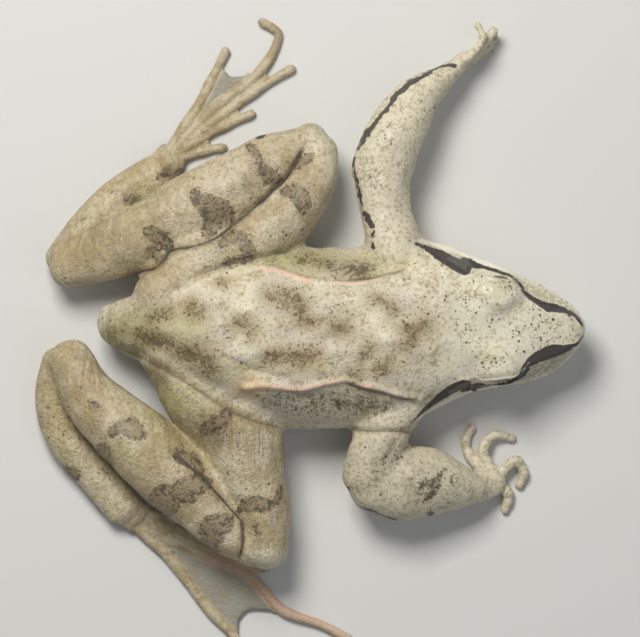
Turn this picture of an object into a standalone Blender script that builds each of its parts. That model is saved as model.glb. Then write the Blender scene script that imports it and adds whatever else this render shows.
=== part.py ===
# Agile frog, life size, lying at rest with its left arm held out to the side.
# The head points along +X, the frog's left side is +Y and the floor is z = 0.
# Sizes are in millimetres and become metres when a mesh is made.
import math

import bmesh
import bpy
import numpy as np
from mathutils import Vector

MM = 0.001
GAP = 0.3
CENTRE_SHIFT = (1.25, 2.29)
ROOM = 60.0

# Body: stations from the vent to the tip of the snout
BODY_COLUMNS = ("x", "axis_y", "roll", "crown_z", "edge_w", "edge_z", "side", "flank_w", "flank_z", "keel_z")
BODY_STATIONS = [
    (-27.3, -0.5, 0, 6.8, 1.3, 6.3, 0.2, 1.9, 4.6, 3.0),
    (-25.0, -1.0, 0, 8.5, 1.9, 7.9, 0.4, 3.2, 4.7, 1.7),
    (-22.4, -1.1, 0, 10.0, 2.6, 9.3, 0.5, 4.3, 5.0, 0.8),
    (-19.3, -1.2, 0, 11.9, 3.5, 11.0, 0.6, 5.5, 5.2, 0.2),
    (-15.5, -1.8, 0, 13.9, 4.8, 12.7, 0.7, 6.9, 5.4, -0.2),
    (-12.0, -2.2, 0, 14.6, 6.1, 13.1, 0.8, 8.6, 5.4, -0.4),
    (-8.8, -2.4, 0, 14.4, 7.0, 12.8, 0.9, 10.1, 5.4, -0.4),
    (-4.0, -2.5, 0, 13.9, 7.1, 12.3, 1.1, 11.1, 5.3, -0.4),
    (3.0, -2.5, 0, 13.3, 6.5, 11.9, 1.2, 11.2, 5.2, -0.4),
    (9.5, -2.3, 0, 12.9, 7.2, 11.3, 0.9, 11.1, 5.2, -0.3),
    (13.0, -1.2, 2, 12.3, 7.6, 10.6, 0.5, 10.7, 5.2, 0.4),
    (15.5, -0.8, 4, 11.8, 7.2, 10.2, 0.2, 9.9, 5.3, 1.2),
    (18.6, -0.7, 6, 11.2, 6.1, 9.9, 0.0, 8.6, 5.3, 1.9),
    (22.2, -1.0, 6, 10.7, 5.0, 9.8, -0.1, 7.6, 5.4, 2.2),
    (25.5, -1.5, 6, 10.4, 4.2, 9.6, -0.2, 6.5, 5.6, 2.6),
    (28.0, -1.7, 6, 9.8, 3.1, 9.2, -0.3, 5.5, 5.8, 3.1),
    (30.0, -1.7, 6, 9.1, 2.4, 8.6, -0.2, 4.2, 6.0, 3.8),
    (31.8, -1.5, 6, 8.3, 1.6, 7.9, -0.1, 2.6, 6.2, 4.6),
    (32.8, -1.4, 6, 7.6, 0.8, 7.3, 0.0, 1.2, 6.4, 5.4),
]
TRUNK_RINGS, HEAD_RINGS = 20, 17
POINTS_PER_SPAN = 3
EDGE_POINT = 2 * POINTS_PER_SPAN
RUMP_TIP = (-27.9, -0.4, 4.9)
SNOUT_TIP = (33.15, -1.4, 6.7)
FOLD_HEIGHT = 0.3
FOLD_FROM, FOLD_TO = -10.0, 14.0

# Cuts that part the body
NECK_X = 14.4
MOUTH_LINE = [(13.0, 4.9), (18.0, 4.8), (24.0, 5.05), (29.0, 5.45), (34.0, 6.0)]

# Eyes, ears and nostrils, placed from the head's own middle plane
EYE_X, EYE_SIDE, EYE_Z, EYE_RADIUS = 22.2, 4.5, 8.9, 2.15
LID_RADII = (3.2, 2.7, 2.75)
LID_OPENING = (2.35, 1.6, 1.3)
LID_OPENING_OUT, LID_OPENING_UP = 2.05, 0.1
EAR_X, EAR_TURN, EAR_RADIUS, EAR_THICKNESS = 17.3, 9.3, 1.6, 0.8
EAR_RIM, EAR_SUNK = 0.28, 0.1
NOSTRIL_X, NOSTRIL_TURN, NOSTRIL_RADIUS = 31.0, 6.6, 0.32

# Limbs: stations of x, y, z, half width and half height
THIGH_LEFT = [
    (-19.5, 2.4, 7.0, 4.0, 4.5),
    (-15.6, 5.6, 6.8, 4.9, 5.2),
    (-8.4, 9.2, 6.5, 4.2, 5.0),
    (-3.2, 13.5, 6.3, 3.4, 4.4),
    (-0.7, 17.4, 6.3, 3.0, 3.7),
    (-0.4, 20.6, 6.2, 2.6, 3.1),
]
SHANK_LEFT = [
    (-1.2, 22.0, 6.2, 2.3, 2.6),
    (-4.4, 20.2, 6.4, 3.2, 3.4),
    (-8.1, 17.9, 6.6, 4.2, 4.1),
    (-12.2, 15.4, 6.5, 4.6, 4.3),
    (-17.0, 12.7, 6.2, 4.6, 4.2),
    (-21.8, 10.1, 5.6, 4.1, 3.7),
    (-27.2, 7.9, 4.9, 3.4, 3.1),
    (-31.4, 6.6, 4.3, 2.9, 2.8),
]
TARSUS_LEFT = [
    (-32.3, 7.2, 2.6, 2.2, 2.0),
    (-29.4, 10.9, 2.0, 2.4, 2.1),
    (-25.2, 14.8, 1.8, 2.7, 2.0),
    (-20.4, 18.0, 1.6, 2.6, 1.8),
]
THIGH_RIGHT = [
    (-18.6, -4.4, 7.0, 4.0, 4.5),
    (-14.8, -8.6, 6.8, 5.2, 5.2),
    (-10.4, -13.5, 6.5, 5.4, 5.0),
    (-8.8, -18.6, 6.3, 4.6, 4.5),
    (-7.2, -24.2, 6.3, 3.6, 3.8),
    (-6.8, -28.6, 6.2, 3.1, 3.2),
]
SHANK_RIGHT = [
    (-8.4, -29.0, 6.2, 2.2, 2.6),
    (-11.4, -26.6, 6.4, 2.9, 3.2),
    (-15.8, -22.0, 6.6, 4.1, 4.1),
    (-20.3, -17.8, 6.5, 4.5, 4.3),
    (-24.9, -13.5, 6.1, 4.1, 4.0),
    (-29.1, -9.2, 5.4, 3.4, 3.4),
    (-31.1, -5.6, 4.8, 2.9, 3.0),
]
TARSUS_RIGHT = [
    (-32.6, -5.4, 2.6, 2.2, 2.0),
    (-33.4, -9.6, 2.1, 2.3, 2.1),
    (-32.0, -14.9, 1.9, 2.4, 2.0),
    (-28.3, -19.4, 1.7, 2.4, 1.9),
    (-24.6, -23.8, 1.6, 2.4, 1.8),
]
UPPER_ARM_LEFT = [
    (10.3, 5.0, 6.8, 4.0, 4.0),
    (9.3, 9.2, 6.7, 3.7, 3.8),
    (8.3, 13.0, 6.5, 3.2, 3.4),
    (7.7, 17.0, 6.3, 3.3, 3.3),
]
FOREARM_LEFT = [
    (7.5, 18.2, 6.2, 3.6, 3.3),
    (8.4, 21.1, 6.1, 3.8, 3.4),
    (10.6, 24.9, 5.6, 3.5, 3.2),
    (13.0, 28.1, 5.0, 2.6, 2.6),
    (15.6, 30.2, 4.4, 1.6, 2.1),
]
UPPER_ARM_RIGHT = [
    (9.9, -10.0, 6.6, 3.7, 3.9),
    (7.9, -14.2, 6.4, 3.4, 3.5),
    (6.6, -17.8, 6.1, 3.4, 3.3),
    (6.1, -19.8, 5.8, 3.3, 3.2),
]
FOREARM_RIGHT = [
    (6.4, -20.7, 5.4, 3.6, 3.3),
    (9.7, -20.6, 5.2, 4.5, 3.6),
    (13.4, -20.5, 4.7, 4.5, 3.5),
    (16.8, -21.1, 4.0, 3.2, 2.7),
    (19.4, -21.5, 3.2, 1.8, 1.9),
]
LIMB_RINGS, LIMB_SIDES = 9, 12

# Feet: the toes' paths on the floor from the end of the tarsus, innermost toe first
TOE_RADIUS, TOE_TIP_RADIUS, TOE_Z, TOE_START_Z = 0.85, 0.55, 0.5, (1.3, 0.8)
SOLE_Z, SOLE_HALF_WIDTH, SOLE_HALF_HEIGHTS = (1.5, 1.2, 0.8), 2.1, (1.6, 1.3, 0.9)
FOOT_LEFT_HEEL = (-20.9, 17.2)
TOES_LEFT = [
    [(-18.6, 19.4), (-15.2, 20.8), (-12.2, 21.4)],
    [(-18.4, 20.0), (-13.4, 23.4), (-8.6, 25.6)],
    [(-18.0, 20.6), (-12.0, 25.6), (-6.4, 29.6), (-3.6, 31.2)],
    [(-18.0, 21.2), (-12.6, 26.8), (-8.2, 30.2), (-5.6, 34.0), (-5.2, 35.6), (-7.2, 37.0)],
    [(-18.6, 21.4), (-15.4, 26.4), (-13.0, 31.0), (-11.8, 33.4)],
]
FOOT_RIGHT_HEEL = (-25.2, -23.2)
TOES_RIGHT = [
    [(-22.0, -24.4), (-18.6, -25.0), (-16.4, -25.0)],
    [(-22.0, -24.8), (-16.6, -27.0), (-12.0, -28.4)],
    [(-22.0, -25.4), (-15.2, -28.4), (-9.6, -30.6), (-6.8, -31.4)],
    [(-22.4, -26.0), (-14.6, -29.6), (-8.2, -32.8), (-5.0, -36.4), (0.6, -38.6), (3.6, -40.2)],
    [(-22.8, -26.2), (-18.2, -30.8), (-14.4, -36.0), (-10.8, -39.8), (-9.0, -41.6)],
]
WEB_REACH = [(0.92, 0.78), (0.92, 0.82), (0.94, 0.74), (0.79, 0.96)]
WEB_START = 0.15
WEB_HALF_THICKNESS, WEB_Z, WEB_DIP, WEB_INSET = 0.27, 0.52, 0.15, 0.06
WEB_ROWS, WEB_COLUMNS, WEB_FINENESS = 8, 4, 60

# Hands: fingers as x, y, z from the palm, first finger first
PALM_LEFT = [(14.9, 29.7, 4.2, 1.5, 2.2), (17.0, 31.4, 3.4, 1.2, 2.3), (18.4, 32.7, 2.9, 0.9, 1.9)]
FINGERS_LEFT = [
    [(17.4, 31.8, 4.2), (19.2, 33.2, 4.6), (20.3, 35.2, 4.4), (19.7, 36.5, 4.2)],
    [(17.6, 31.9, 3.4), (19.4, 33.2, 3.3), (20.9, 34.9, 3.0), (21.7, 35.9, 2.7)],
    [(17.6, 31.9, 2.4), (19.6, 33.0, 1.9), (21.0, 34.3, 1.3), (21.9, 35.1, 0.9)],
    [(17.4, 31.7, 1.8), (19.2, 32.6, 1.0), (20.4, 33.3, 0.5), (21.4, 33.9, 0.4)],
]
PALM_RIGHT = [(18.6, -21.3, 2.9, 1.8, 1.8), (20.6, -20.8, 1.9, 2.1, 1.4), (22.2, -20.0, 1.4, 1.9, 1.1)]
FINGERS_RIGHT = [
    [(20.6, -19.4, 1.4), (19.0, -17.6, 0.8), (18.2, -15.6, 0.5), (19.0, -13.8, 0.4)],
    [(21.4, -19.0, 1.3), (20.4, -16.4, 1.4), (21.8, -14.7, 1.0), (24.0, -15.0, 0.4)],
    [(22.6, -19.4, 1.3), (24.6, -17.9, 1.2), (25.4, -19.6, 0.9), (24.4, -21.6, 0.4)],
    [(22.2, -20.6, 1.2), (23.6, -22.2, 0.8), (23.2, -24.0, 0.4)],
]
FINGER_RADIUS, FINGER_TIP_RADIUS = 0.8, 0.55
DIGIT_RING_EVERY, DIGIT_SIDES = 2.4, 6

# Colour, roughness
SKIN = ((0.60, 0.54, 0.41), 0.45)
PALE_SKIN = ((0.66, 0.61, 0.48), 0.45)
WEB_SKIN = ((0.45, 0.38, 0.26), 0.4)
EAR_SKIN = ((0.12, 0.10, 0.08), 0.5)
EYE_COLOUR = ((0.05, 0.035, 0.015), 0.08)


# Smooth curves

def smooth(knots, values, at):
    """Values read at points on a cubic curve that passes through every knot."""
    knots = np.asarray(knots, float)
    values = np.asarray(values, float)
    at = np.clip(np.asarray(at, float), knots[0], knots[-1])
    slopes = np.gradient(values, knots, axis=0)
    i = np.clip(np.searchsorted(knots, at, side="right") - 1, 0, len(knots) - 2)
    span = knots[i + 1] - knots[i]
    t = (at - knots[i]) / span
    shape = (-1,) + (1,) * (values.ndim - 1)
    t = t.reshape(shape)
    span = span.reshape(shape)
    start = (2 * t**3 - 3 * t**2 + 1) * values[i] + (t**3 - 2 * t**2 + t) * span * slopes[i]
    end = (3 * t**2 - 2 * t**3) * values[i + 1] + (t**3 - t**2) * span * slopes[i + 1]
    return start + end


def along(stations, count):
    """Stations resampled evenly along their path."""
    rows = np.asarray(stations, float)
    steps = np.linalg.norm(np.diff(rows[:, :3], axis=0), axis=1)
    reach = np.concatenate([[0.0], np.cumsum(steps)])
    return smooth(reach, rows, np.linspace(0.0, reach[-1], count))


# Meshes

def new_object(name, points, faces):
    mesh = bpy.data.meshes.new(name)
    mesh.from_pydata((np.asarray(points) * MM).tolist(), [], faces)
    made = bmesh.new()
    made.from_mesh(mesh)
    bmesh.ops.recalc_face_normals(made, faces=made.faces)
    bmesh.ops.triangulate(made, faces=made.faces)
    made.to_mesh(mesh)
    made.free()
    obj = bpy.data.objects.new(name, mesh)
    bpy.context.scene.collection.objects.link(obj)
    return obj


def ring_object(name, rings, first, last):
    """A closed skin over rings of points, drawn in to a point at each end."""
    rings = np.asarray(rings)
    count, sides = rings.shape[:2]
    points = np.concatenate([rings.reshape(-1, 3), [first, last]])
    faces = []
    for i in range(count - 1):
        for j in range(sides):
            k = (j + 1) % sides
            faces.append((i * sides + j, i * sides + k, (i + 1) * sides + k, (i + 1) * sides + j))
    low = (count - 1) * sides
    for j in range(sides):
        k = (j + 1) % sides
        faces.append((count * sides, k, j))
        faces.append((count * sides + 1, low + j, low + k))
    return new_object(name, points, faces)


def box(name, low, high):
    corners = [(x, y, z) for x in (low[0], high[0]) for y in (low[1], high[1]) for z in (low[2], high[2])]
    faces = [(0, 1, 3, 2), (4, 6, 7, 5), (0, 4, 5, 1), (2, 3, 7, 6), (0, 2, 6, 4), (1, 5, 7, 3)]
    return new_object(name, corners, faces)


def ellipsoid(name, centre, radii, segments=16, rings=10):
    made = bmesh.new()
    bmesh.ops.create_uvsphere(made, u_segments=segments, v_segments=rings, radius=1.0)
    points = np.array([v.co[:] for v in made.verts]) * radii
    faces = [[v.index for v in face.verts] for face in made.faces]
    made.free()
    return new_object(name, points + np.asarray(centre), faces)


def tube(name, stations, rings=LIMB_RINGS, sides=LIMB_SIDES, cap=0.9):
    """A limb: ovals across a smooth path, with a rounded cap at each end."""
    rows = along(stations, rings)
    path = rows[:, :3]
    tangents = np.gradient(path, axis=0)
    tangents /= np.linalg.norm(tangents, axis=1)[:, None]
    across = np.cross((0.0, 0.0, 1.0), tangents)
    across /= np.linalg.norm(across, axis=1)[:, None]
    upward = np.cross(tangents, across)
    turn = np.linspace(0.0, 2 * math.pi, sides, endpoint=False)

    def oval(i, shift, scale):
        wide = across[i] * rows[i, 3] * scale
        high = upward[i] * rows[i, 4] * scale
        middle = path[i] + tangents[i] * shift
        return middle + np.outer(np.cos(turn), wide) + np.outer(np.sin(turn), high)

    start_cap = cap * min(rows[0, 3], rows[0, 4])
    end_cap = cap * min(rows[-1, 3], rows[-1, 4])
    bends = [math.radians(60), math.radians(30)]
    skin = [oval(0, -start_cap * math.sin(a), math.cos(a)) for a in bends]
    skin += [oval(i, 0.0, 1.0) for i in range(rings)]
    skin += [oval(-1, end_cap * math.sin(a), math.cos(a)) for a in reversed(bends)]
    return ring_object(name, skin, path[0] - tangents[0] * start_cap, path[-1] + tangents[-1] * end_cap)


def slab(name, grid, half_thickness):
    """A thin sheet, closed all round, over a grid of points."""
    grid = np.asarray(grid)
    rows, columns = grid.shape[:2]
    lift = np.array([0.0, 0.0, half_thickness])
    points = np.concatenate([(grid + lift).reshape(-1, 3), (grid - lift).reshape(-1, 3)])
    under = rows * columns
    faces = []
    for i in range(rows - 1):
        for j in range(columns - 1):
            a = i * columns + j
            corner = (a, a + 1, a + columns + 1, a + columns)
            faces.append(corner[:3])
            faces.append((corner[0], corner[2], corner[3]))
            faces.append((under + corner[2], under + corner[1], under + corner[0]))
            faces.append((under + corner[3], under + corner[2], under + corner[0]))
    rim = list(range(columns))
    rim += [i * columns + columns - 1 for i in range(1, rows)]
    rim += [(rows - 1) * columns + j for j in range(columns - 2, -1, -1)]
    rim += [i * columns for i in range(rows - 2, 0, -1)]
    for a, b in zip(rim, rim[1:] + rim[:1]):
        faces.append((a, b, under + b, under + a))
    return new_object(name, points, faces)


# Cutting and joining

def applied(obj):
    graph = bpy.context.evaluated_depsgraph_get()
    mesh = bpy.data.meshes.new_from_object(obj.evaluated_get(graph))
    obj.modifiers.clear()
    obj.data = mesh
    return obj


def remove(objects):
    for obj in objects:
        bpy.data.objects.remove(obj)


def keep_largest(obj):
    """Leaves only the closed surface that holds the most."""
    made = bmesh.new()
    made.from_mesh(obj.data)
    loose = set(made.verts)
    islands = []
    while loose:
        island = set()
        front = [loose.pop()]
        while front:
            vert = front.pop()
            island.add(vert)
            for edge in vert.link_edges:
                other = edge.other_vert(vert)
                if other in loose:
                    loose.remove(other)
                    front.append(other)
        islands.append(island)

    def content(island):
        total = 0.0
        for face in {f for v in island for f in v.link_faces}:
            corners = [v.co for v in face.verts]
            for b, c in zip(corners[1:], corners[2:]):
                total += corners[0].dot(b.cross(c))
        return abs(total)

    largest = max(islands, key=content)
    bmesh.ops.delete(made, geom=[v for v in made.verts if v not in largest], context="VERTS")
    made.to_mesh(obj.data)
    made.free()
    return obj


def boolean(obj, others, operation):
    for other in others:
        modifier = obj.modifiers.new(other.name, "BOOLEAN")
        modifier.operation = operation
        modifier.object = other
    return keep_largest(applied(obj))


def cut(obj, cutters):
    return boolean(obj, cutters, "DIFFERENCE")


def join(name, pieces):
    """One closed body from overlapping pieces."""
    group = bpy.data.collections.new(name + "_pieces")
    bpy.context.scene.collection.children.link(group)
    base = pieces[0]
    for piece in pieces[1:]:
        group.objects.link(piece)
    modifier = base.modifiers.new("join", "BOOLEAN")
    modifier.operation = "UNION"
    modifier.operand_type = "COLLECTION"
    modifier.collection = group
    applied(base)
    remove(pieces[1:])
    bpy.data.collections.remove(group)
    base.name = name
    return keep_largest(base)


def grown(obj, distance=GAP):
    """A copy whose surface stands a fixed distance outside the first."""
    copy = obj.copy()
    copy.data = obj.data.copy()
    copy.name = obj.name + "_cutter"
    bpy.context.scene.collection.objects.link(copy)
    normals = np.array([v.normal[:] for v in copy.data.vertices])
    points = np.array([v.co[:] for v in copy.data.vertices]) + normals * distance * MM
    copy.data.vertices.foreach_set("co", points.ravel())
    copy.data.update()
    return copy


# Body and head

def body_ring(x):
    """One cross-section: crown, back edge, side, flank or lip, belly edge and keel, made a smooth loop."""
    stations = np.array(BODY_STATIONS)
    row = smooth(stations[:, 0], stations, [x])[0]
    at = dict(zip(BODY_COLUMNS, row))
    crown, keel = at["crown_z"], at["keel_z"]
    edge = (at["edge_w"], at["edge_z"])
    flank = (at["flank_w"], at["flank_z"])
    shoulder = (0.52 * edge[0], crown - 0.22 * (crown - edge[1]))
    middle = ((edge[0] + flank[0]) / 2 + at["side"], (edge[1] + flank[1]) / 2)
    under = (0.74 * flank[0], keel + 0.2 * (flank[1] - keel))
    half = [(0.0, crown), shoulder, edge, middle, flank, under, (0.0, keel)]
    loop = np.array(half + [(-w, z) for w, z in half[-2:0:-1]])
    wrapped = np.concatenate([loop[-3:], loop, loop[:4]])
    knots = np.arange(len(wrapped)) - 3.0
    count = len(loop) * POINTS_PER_SPAN
    ring = smooth(knots, wrapped, np.arange(count) / POINTS_PER_SPAN)
    if FOLD_FROM < x < FOLD_TO:
        rise = math.sin(math.pi * (x - FOLD_FROM) / (FOLD_TO - FOLD_FROM)) ** 0.5
        for j in (EDGE_POINT, count - EDGE_POINT):
            ring[j, 1] += FOLD_HEIGHT * rise
    roll = math.radians(at["roll"])
    y = ring[:, 0] * math.cos(roll) - (ring[:, 1] - flank[1]) * math.sin(roll)
    z = ring[:, 0] * math.sin(roll) + (ring[:, 1] - flank[1]) * math.cos(roll)
    return np.column_stack([np.full(count, x), y + at["axis_y"], z + flank[1]])


def head_place(x, side, z):
    """A point given from the head's middle plane, turned with the head's roll."""
    stations = np.array(BODY_STATIONS)
    at = dict(zip(BODY_COLUMNS, smooth(stations[:, 0], stations, [x])[0]))
    roll = math.radians(at["roll"])
    height = z - at["flank_z"]
    return np.array([
        x,
        at["axis_y"] + side * math.cos(roll) - height * math.sin(roll),
        at["flank_z"] + side * math.sin(roll) + height * math.cos(roll),
    ])


def body_point(x, turn, left):
    """A point on the head's skin and the way it faces, by its turn round the cross-section."""
    def at(place, share):
        ring = body_ring(place)
        share = share if left else len(ring) - share
        low = int(math.floor(share))
        part = share - low
        return ring[low % len(ring)] * (1 - part) + ring[(low + 1) % len(ring)] * part

    step = 0.4
    forward = at(x + step, turn) - at(x - step, turn)
    round_way = at(x, turn + step) - at(x, turn - step)
    outward = np.cross(round_way, forward) if left else np.cross(forward, round_way)
    outward /= np.linalg.norm(outward)
    if outward[1] * (1 if left else -1) < 0:
        outward = -outward
    return at(x, turn), outward


def body_stations_x():
    first, last = BODY_STATIONS[0][0], BODY_STATIONS[-1][0]
    trunk = np.linspace(first, NECK_X, TRUNK_RINGS, endpoint=False)
    return np.concatenate([trunk, np.linspace(NECK_X, last, HEAD_RINGS)])


def whole_body():
    rings = [body_ring(x) for x in body_stations_x()]
    return ring_object("whole_body", rings, RUMP_TIP, SNOUT_TIP)


def mouth_block(name, upper):
    """Everything above or below the line of the mouth, turned with the head's roll."""
    line = [(x, z + (-GAP / 2 if upper else GAP / 2)) for x, z in MOUTH_LINE]
    far = ROOM / 2 if upper else -ROOM / 2
    outline = line + [(line[-1][0], far), (line[0][0], far)]
    count = len(outline)
    points = []
    for side in (-ROOM / 2, ROOM / 2):
        for x, z in outline:
            points.append(head_place(max(x, EAR_X), side, z) * (0, 1, 1) + (x, 0, 0))
    faces = [tuple(range(count)), tuple(range(2 * count - 1, count - 1, -1))]
    for i in range(count):
        j = (i + 1) % count
        faces.append((i, i + count, j + count, j))
    return new_object(name, points, faces)


def facing(outward):
    """Turns +Z to face outward."""
    return Vector(outward).to_track_quat("Z", "Y").to_matrix()


def disc(name, centre, outward, radius, thickness, sides=14):
    turn = np.array(facing(outward))
    angles = np.linspace(0, 2 * math.pi, sides, endpoint=False)
    rings = []
    for share, height in ((0.72, -0.5), (1.0, -0.42), (1.0, 0.2), (0.72, 0.4)):
        flat = np.column_stack([np.cos(angles), np.sin(angles), np.full(sides, 0.0)]) * radius * share
        flat[:, 2] = height * thickness
        rings.append(flat @ turn.T + centre)
    low = np.asarray(centre) - np.asarray(outward) * 0.5 * thickness
    high = np.asarray(centre) + np.asarray(outward) * 0.46 * thickness
    return ring_object(name, rings, low, high)


def hoop(name, centre, outward, radius, section, sides=14, around=6):
    """A round rim of round section."""
    turn = np.array(facing(outward))
    points = []
    for i in range(sides):
        a = 2 * math.pi * i / sides
        for j in range(around):
            b = 2 * math.pi * j / around
            reach = radius + section * math.cos(b)
            points.append((reach * math.cos(a), reach * math.sin(a), section * math.sin(b)))
    faces = []
    for i in range(sides):
        for j in range(around):
            k, m = (i + 1) % sides, (j + 1) % around
            faces.append((i * around + j, k * around + j, k * around + m, i * around + m))
    return new_object(name, np.array(points) @ turn.T + centre, faces)


def behind_neck():
    return box("behind_neck", (-ROOM, -ROOM, -ROOM), (NECK_X + GAP / 2, ROOM, ROOM))


def make_head(body):
    """Upper head with lids, lip, nostrils and ear rims, and the parts set into it."""
    head = body.copy()
    head.data = body.data.copy()
    bpy.context.scene.collection.objects.link(head)
    behind = behind_neck()
    below = mouth_block("below_mouth", upper=False)
    cut(head, [behind, below])
    lids, cutters, nodes = [], [behind, below], []
    for word, hand in (("left", 1), ("right", -1)):
        left = hand > 0
        centre = head_place(EYE_X, hand * EYE_SIDE, EYE_Z)
        lids.append(ellipsoid("lid_" + word, centre, LID_RADII))
        socket = ellipsoid("socket_" + word, centre, [EYE_RADIUS + GAP] * 3, 14, 8)
        opening_centre = head_place(EYE_X, hand * (EYE_SIDE + LID_OPENING_OUT), EYE_Z + LID_OPENING_UP)
        opening = ellipsoid("opening_" + word, opening_centre, LID_OPENING, 14, 8)
        ear_centre, ear_out = body_point(EAR_X, EAR_TURN, left)
        ear_centre = ear_centre - ear_out * EAR_SUNK
        lids.append(hoop("rim_" + word, ear_centre, ear_out, EAR_RADIUS + GAP + EAR_RIM / 3, EAR_RIM))
        bed = disc("bed_" + word, ear_centre, ear_out, EAR_RADIUS + GAP, EAR_THICKNESS + 2 * GAP)
        nostril_centre, nostril_out = body_point(NOSTRIL_X, NOSTRIL_TURN, left)
        nostril = ellipsoid("nostril_" + word, nostril_centre, [NOSTRIL_RADIUS] * 3, 8, 6)
        cutters += [socket, opening, bed, nostril]
        nodes.append(ellipsoid("eye_" + word, centre, [EYE_RADIUS] * 3))
        nodes.append(disc("tympanum_" + word, ear_centre, ear_out, EAR_RADIUS, EAR_THICKNESS))
    head = join("head", [head] + lids)
    cut(head, cutters)
    remove(cutters)
    return head, nodes


def make_lower_jaw(body):
    jaw = body.copy()
    jaw.data = body.data.copy()
    jaw.name = "lower_jaw"
    bpy.context.scene.collection.objects.link(jaw)
    behind = behind_neck()
    above = mouth_block("above_mouth", upper=True)
    cut(jaw, [behind, above])
    remove([behind, above])
    return jaw


def make_torso(body, floor):
    torso = body.copy()
    torso.data = body.data.copy()
    torso.name = "torso"
    bpy.context.scene.collection.objects.link(torso)
    ahead = box("ahead_of_neck", (NECK_X - GAP / 2, -ROOM, -ROOM), (ROOM, ROOM, ROOM))
    cut(torso, [ahead, floor])
    remove([ahead])
    return torso


# Feet and hands

def digit(name, path, base_radius, tip_radius):
    path = np.asarray(path, float)
    steps = np.linalg.norm(np.diff(path, axis=0), axis=1)
    share = np.concatenate([[0.0], np.cumsum(steps)]) / steps.sum()
    radius = base_radius + (tip_radius - base_radius) * share
    rings = 3 + int(steps.sum() / DIGIT_RING_EVERY)
    return tube(name, np.column_stack([path, radius, radius]), rings, DIGIT_SIDES, cap=1.0)


def toe_path(heel, points):
    """A toe's path from under the tarsus down to the floor."""
    flat = np.array([heel] + points)
    heights = np.full(len(flat), TOE_Z)
    heights[:2] = TOE_START_Z
    return np.column_stack([flat, heights])


def web(name, inner, outer, reach_inner, reach_outer):
    """The thin skin between two toes, with a hollow free edge."""
    t = np.linspace(WEB_INSET, 1 - WEB_INSET, WEB_COLUMNS)
    s = np.linspace(WEB_START, 1, WEB_ROWS)
    reach = s[:, None] * (1 - WEB_DIP * 4 * t * (1 - t) * s[:, None])
    last = WEB_FINENESS - 1
    inner = along(inner, WEB_FINENESS)[np.rint(last * reach * reach_inner).astype(int)]
    outer = along(outer, WEB_FINENESS)[np.rint(last * reach * reach_outer).astype(int)]
    grid = inner * (1 - t)[:, None] + outer * t[:, None]
    grid[:, :, 2] = WEB_Z
    return slab(name, grid, WEB_HALF_THICKNESS)


def make_foot(name, heel, toes, floor):
    paths = [toe_path(heel, toe) for toe in toes]
    knuckle = np.mean([toe[0] for toe in toes], axis=0)
    heel = np.asarray(heel)
    sole = [
        (*heel, SOLE_Z[0], SOLE_HALF_WIDTH, SOLE_HALF_HEIGHTS[0]),
        (*((heel + knuckle) / 2), SOLE_Z[1], SOLE_HALF_WIDTH, SOLE_HALF_HEIGHTS[1]),
        (*knuckle, SOLE_Z[2], SOLE_HALF_WIDTH, SOLE_HALF_HEIGHTS[2]),
    ]
    pieces = [tube(name + "_sole", sole, 5, 12)]
    for i, path in enumerate(paths):
        pieces.append(digit(f"{name}_toe_{i}", path, TOE_RADIUS, TOE_TIP_RADIUS))
    for i, (reach_inner, reach_outer) in enumerate(WEB_REACH):
        pieces.append(web(f"{name}_web_{i}", paths[i], paths[i + 1], reach_inner, reach_outer))
    return cut(join(name, pieces), [floor])


def make_hand(name, palm, fingers, floor):
    pieces = [tube(name + "_palm", palm, 6, 12)]
    for i, path in enumerate(fingers):
        pieces.append(digit(f"{name}_finger_{i}", path, FINGER_RADIUS, FINGER_TIP_RADIUS))
    return cut(join(name, pieces), [floor])


# Limbs: each is cut clear of those nearer the body

def make_limbs(body, floor):
    nodes = []
    body_room = grown(body)
    rows = {
        "left": (THIGH_LEFT, SHANK_LEFT, TARSUS_LEFT, FOOT_LEFT_HEEL, TOES_LEFT),
        "right": (THIGH_RIGHT, SHANK_RIGHT, TARSUS_RIGHT, FOOT_RIGHT_HEEL, TOES_RIGHT),
    }
    for word, (thigh_rows, shank_rows, tarsus_rows, heel, toes) in rows.items():
        thigh = tube("thigh_" + word, thigh_rows)
        shank = tube("shank_" + word, shank_rows)
        tarsus = tube("tarsus_" + word, tarsus_rows)
        rooms = [grown(thigh), grown(shank), grown(tarsus)]
        cut(thigh, [body_room, floor])
        cut(shank, [body_room, rooms[0], floor])
        cut(tarsus, [body_room, rooms[0], rooms[1], floor])
        foot = make_foot("foot_" + word, heel, toes, floor)
        cut(foot, rooms)
        remove(rooms)
        nodes += [thigh, shank, tarsus, foot]
    rows = {
        "left": (UPPER_ARM_LEFT, FOREARM_LEFT, PALM_LEFT, FINGERS_LEFT),
        "right": (UPPER_ARM_RIGHT, FOREARM_RIGHT, PALM_RIGHT, FINGERS_RIGHT),
    }
    for word, (upper_rows, fore_rows, palm, fingers) in rows.items():
        upper = tube("upper_arm_" + word, upper_rows)
        fore = tube("forearm_" + word, fore_rows)
        rooms = [grown(upper), grown(fore)]
        cut(upper, [body_room, floor])
        cut(fore, [body_room, rooms[0], floor])
        hand = make_hand("hand_" + word, palm, fingers, floor)
        cut(hand, rooms)
        remove(rooms)
        nodes += [upper, fore, hand]
    remove([body_room])
    return nodes


# Finish

def material(name, colour, roughness):
    made = bpy.data.materials.new(name)
    made.use_nodes = True
    shader = made.node_tree.nodes["Principled BSDF"]
    shader.inputs["Base Color"].default_value = (*colour, 1.0)
    shader.inputs["Roughness"].default_value = roughness
    shader.inputs["Metallic"].default_value = 0.0
    return made


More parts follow.
